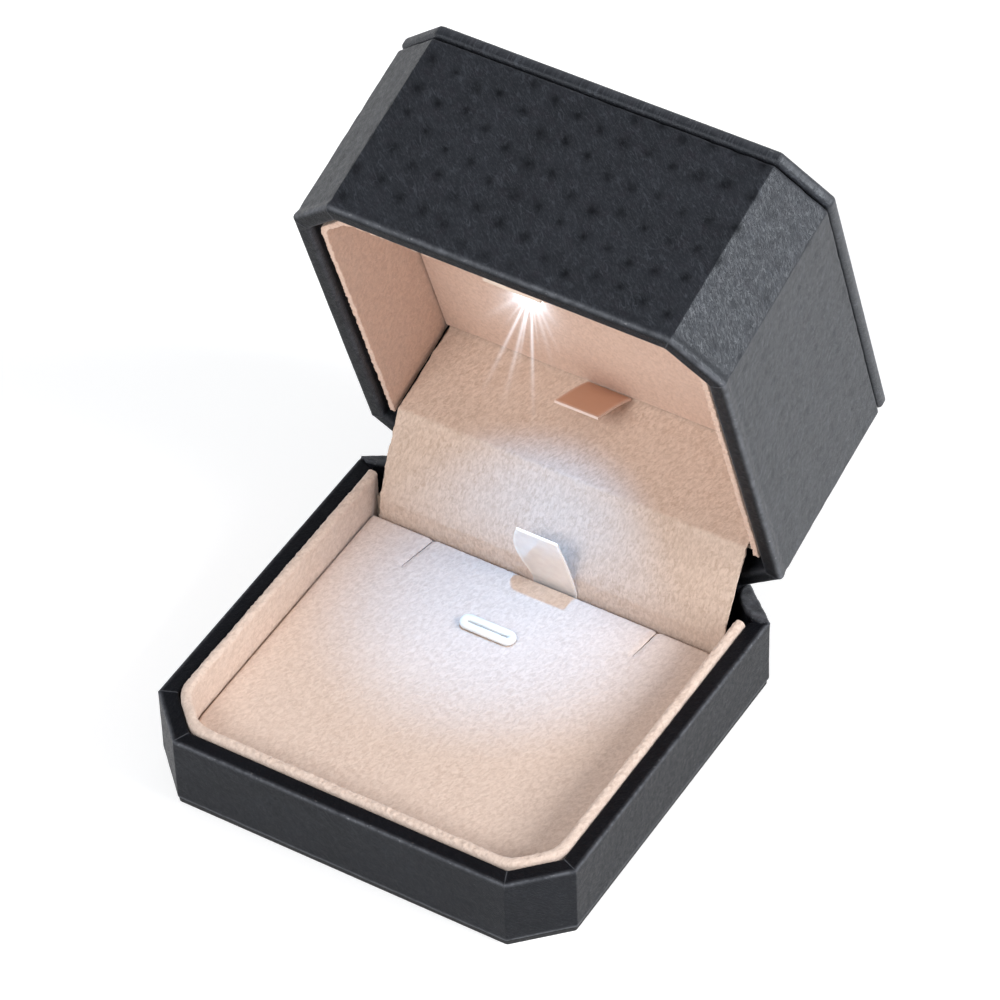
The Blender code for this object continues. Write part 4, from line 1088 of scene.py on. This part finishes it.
def spring_copy(node):
    """A piece with a spring's own shape, which stands for it."""
    piece = link(bpy.data.objects.new(node + "_wire", frame["nodes"][node].data.copy()))
    piece.data.materials.clear()
    piece.data.materials.append(SLOT_LOOKS["spring_steel"])
    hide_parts(node)
    return piece


# ---- Studio ----

def aim(obj, place, target):
    obj.location = place
    way = Vector(target) - Vector(place)
    obj.rotation_euler = way.to_track_quat("-Z", "Y").to_euler()


def soft_box(name, place, target, size, power):
    light = bpy.data.lights.new(name, "AREA")
    light.shape = "RECTANGLE"
    light.size, light.size_y = size
    light.energy = power
    aim(link(bpy.data.objects.new(name, light)), place, target)


def floor():
    """A plain white floor."""
    look = Shader("floor", (0.72, 0.72, 0.72), 0.6)
    look.give("Roughness", look.spread(look.noise(40.0 * MM), 0.3, 0.7, 0.55, 0.65))
    look.give("Emission Color", (1.0, 1.0, 1.0, 1.0))
    look.give("Emission Strength", 0.52)
    mesh = bpy.data.meshes.new("floor")
    reach = 4.0
    corners = [(-reach, -reach, 0.0), (reach, -reach, 0.0), (reach, reach, 0.0), (-reach, reach, 0.0)]
    mesh.from_pydata(corners, [], [(0, 1, 2, 3)])
    mesh.materials.append(look.material)
    link(bpy.data.objects.new("floor", mesh))


def surroundings():
    """A white studio that is darker overhead."""
    world = bpy.data.worlds.new("studio")
    bpy.context.scene.world = world
    world.use_nodes = True
    tree = world.node_tree
    way = tree.nodes.new("ShaderNodeTexCoord").outputs["Generated"]
    split = tree.nodes.new("ShaderNodeSeparateXYZ")
    tree.links.new(way, split.inputs[0])
    ramp = tree.nodes.new("ShaderNodeValToRGB")
    tree.links.new(split.outputs["Z"], ramp.inputs[0])
    stops = ramp.color_ramp.elements
    stops[0].position, stops[0].color = 0.08, (1.0, 1.0, 1.0, 1.0)
    stops[1].position, stops[1].color = 0.6, (0.30, 0.31, 0.33, 1.0)
    background = tree.nodes["Background"]
    tree.links.new(ramp.outputs[0], background.inputs["Color"])
    background.inputs["Strength"].default_value = 0.85


# From the lens's middle and rear face, in the shut box, to where the photograph's flare is.
FLARE_OFFSET = np.array([2.6, 0.3, -0.8]) * MM


def lamp_place():
    """Where the light comes from, at rest: just below the lamp's lens and a little to its right."""
    middle = (LENS_LOW + LENS_HIGH) / 2.0
    return opened(np.array([middle[0], LENS_HIGH[1], middle[2]]) + FLARE_OFFSET)


def lamp_light():
    """The light that the diode throws down on the pad, riding on the lid."""
    light = bpy.data.lights.new("lamp_light", "SPOT")
    light.energy = 0.27
    light.color = (0.14, 0.50, 1.0)
    light.shadow_soft_size = 0.9 * MM
    light.spot_size = math.radians(52.0)
    light.spot_blend = 1.0
    obj = link(bpy.data.objects.new("lamp_light", light))
    behind_slot = np.array([0.0, 6.0, 0.0]) * MM
    aim(obj, lamp_place(), (SLOT_LOW + SLOT_HIGH) / 2.0 + behind_slot)
    bpy.context.view_layer.update()
    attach(obj, "lid")


# The streaks below the lamp: degrees to the right of straight down, half width in degrees, length in
# millimetres, strength.
STREAKS = ((-15.2, 1.0, 30.0, 0.55), (-5.7, 1.1, 31.0, 0.50), (-2.4, 1.0, 19.0, 0.55),
           (7.1, 0.9, 33.0, 0.60), (13.0, 1.2, 14.0, 0.30), (22.2, 2.2, 17.0, 0.22),
           (31.6, 2.0, 15.0, 0.22), (-24.0, 1.6, 12.0, 0.25), (-41.0, 4.0, 15.0, 0.20),
           (-58.0, 5.0, 9.0, 0.20), (47.0, 4.0, 9.0, 0.20))


def lamp_streaks():
    """The glow and the streaks that the camera sees round the lit lamp: a see-through fan of light."""
    reach, angles, rings = 36.0 * MM, 260, 60
    angle = np.radians(np.linspace(-85.0, 85.0, angles))[:, None]
    distance = reach * np.linspace(0.0, 1.0, rings)[None, :] ** 1.4
    glow = 2.6 * bump(distance, 3.0 * MM) + 0.55 * bump(distance, 6.5 * MM) + 0.0 * angle
    for lean, width, length, strength in STREAKS:
        near = unit(distance / (length * MM))
        across = bump(angle - math.radians(lean), math.radians(width) * (1.0 + 2.5 * (1.0 - near) ** 3))
        glow += 2.4 * strength * across * (1.0 - near) ** 1.1 * np.exp(-distance / (21.0 * MM))
    glow *= unit(2.0 - 2.0 * np.abs(angle) / angle.max())
    right = np.array(bpy.context.scene.camera.matrix_world.col[0])[:3] * np.array([1.0, 1.0, 0.0])
    right /= np.linalg.norm(right)
    down = (SLOT_LOW + SLOT_HIGH) / 2.0 - lamp_place()
    down /= np.linalg.norm(down)
    ways = np.sin(angle)[..., None] * right + np.cos(angle)[..., None] * down
    grid = lamp_place() + ways * distance[..., None]
    faces = quads(np.arange(angles * rings).reshape(angles, rings))

    material = bpy.data.materials.new("lamp_streaks")
    material.use_nodes = True
    tree = material.node_tree
    tree.nodes.clear()
    kinds = ("Attribute", "Emission", "BsdfTransparent", "AddShader", "OutputMaterial")
    value, shine, see_through, both, out = (tree.nodes.new("ShaderNode" + kind) for kind in kinds)
    value.attribute_name = "glow"
    shine.inputs["Color"].default_value = (0.74, 0.88, 1.0, 1.0)
    tree.links.new(value.outputs["Fac"], shine.inputs["Strength"])
    tree.links.new(shine.outputs[0], both.inputs[0])
    tree.links.new(see_through.outputs[0], both.inputs[1])
    tree.links.new(both.outputs[0], out.inputs["Surface"])

    fan = mesh_piece("lamp_streaks", grid.reshape(-1, 3), faces, material, smooth=False)
    mark(fan, "glow", glow)
    for kind in ("visible_diffuse", "visible_glossy", "visible_transmission", "visible_shadow"):
        setattr(fan, kind, False)
    body = frame["bodies"]["lid"]
    fan.parent = body
    fan.matrix_parent_inverse = body.matrix_world.inverted()


# The camera that was fitted to the photograph: metres, degrees and millimetres.
CAMERA_PLACE = (0.41968, -0.64095, 0.82405)
CAMERA_TURN = (44.955, 1.575, 31.067)
FOCAL_LENGTH = 215.34


def camera():
    """A long lens, at the photograph's height and side."""
    lens = bpy.data.cameras.new("camera")
    lens.lens = FOCAL_LENGTH
    lens.sensor_width = 36.0
    lens.clip_start = 0.05
    obj = link(bpy.data.objects.new("camera", lens))
    obj.location = CAMERA_PLACE
    obj.rotation_euler = tuple(math.radians(angle) for angle in CAMERA_TURN)
    bpy.context.scene.camera = obj


base_leather()
lid_leather()
top_leather()
hinge_leather()
liners()
pad_velvet()
ceiling_velvet()
curtain_velvet()
ring_slot()
tabs()
springs()
dress_cad_nodes()
floor()
surroundings()
soft_box("key", (-0.10, -1.10, 1.10), (0.0, 0.0, 0.03), (0.7, 0.5), 12.6)
soft_box("right", (1.05, 0.20, 0.72), (0.0, 0.0, 0.04), (0.6, 0.5), 14.0)
lamp_light()
camera()
lamp_streaks()
bpy.context.scene.view_settings.view_transform = "Standard"
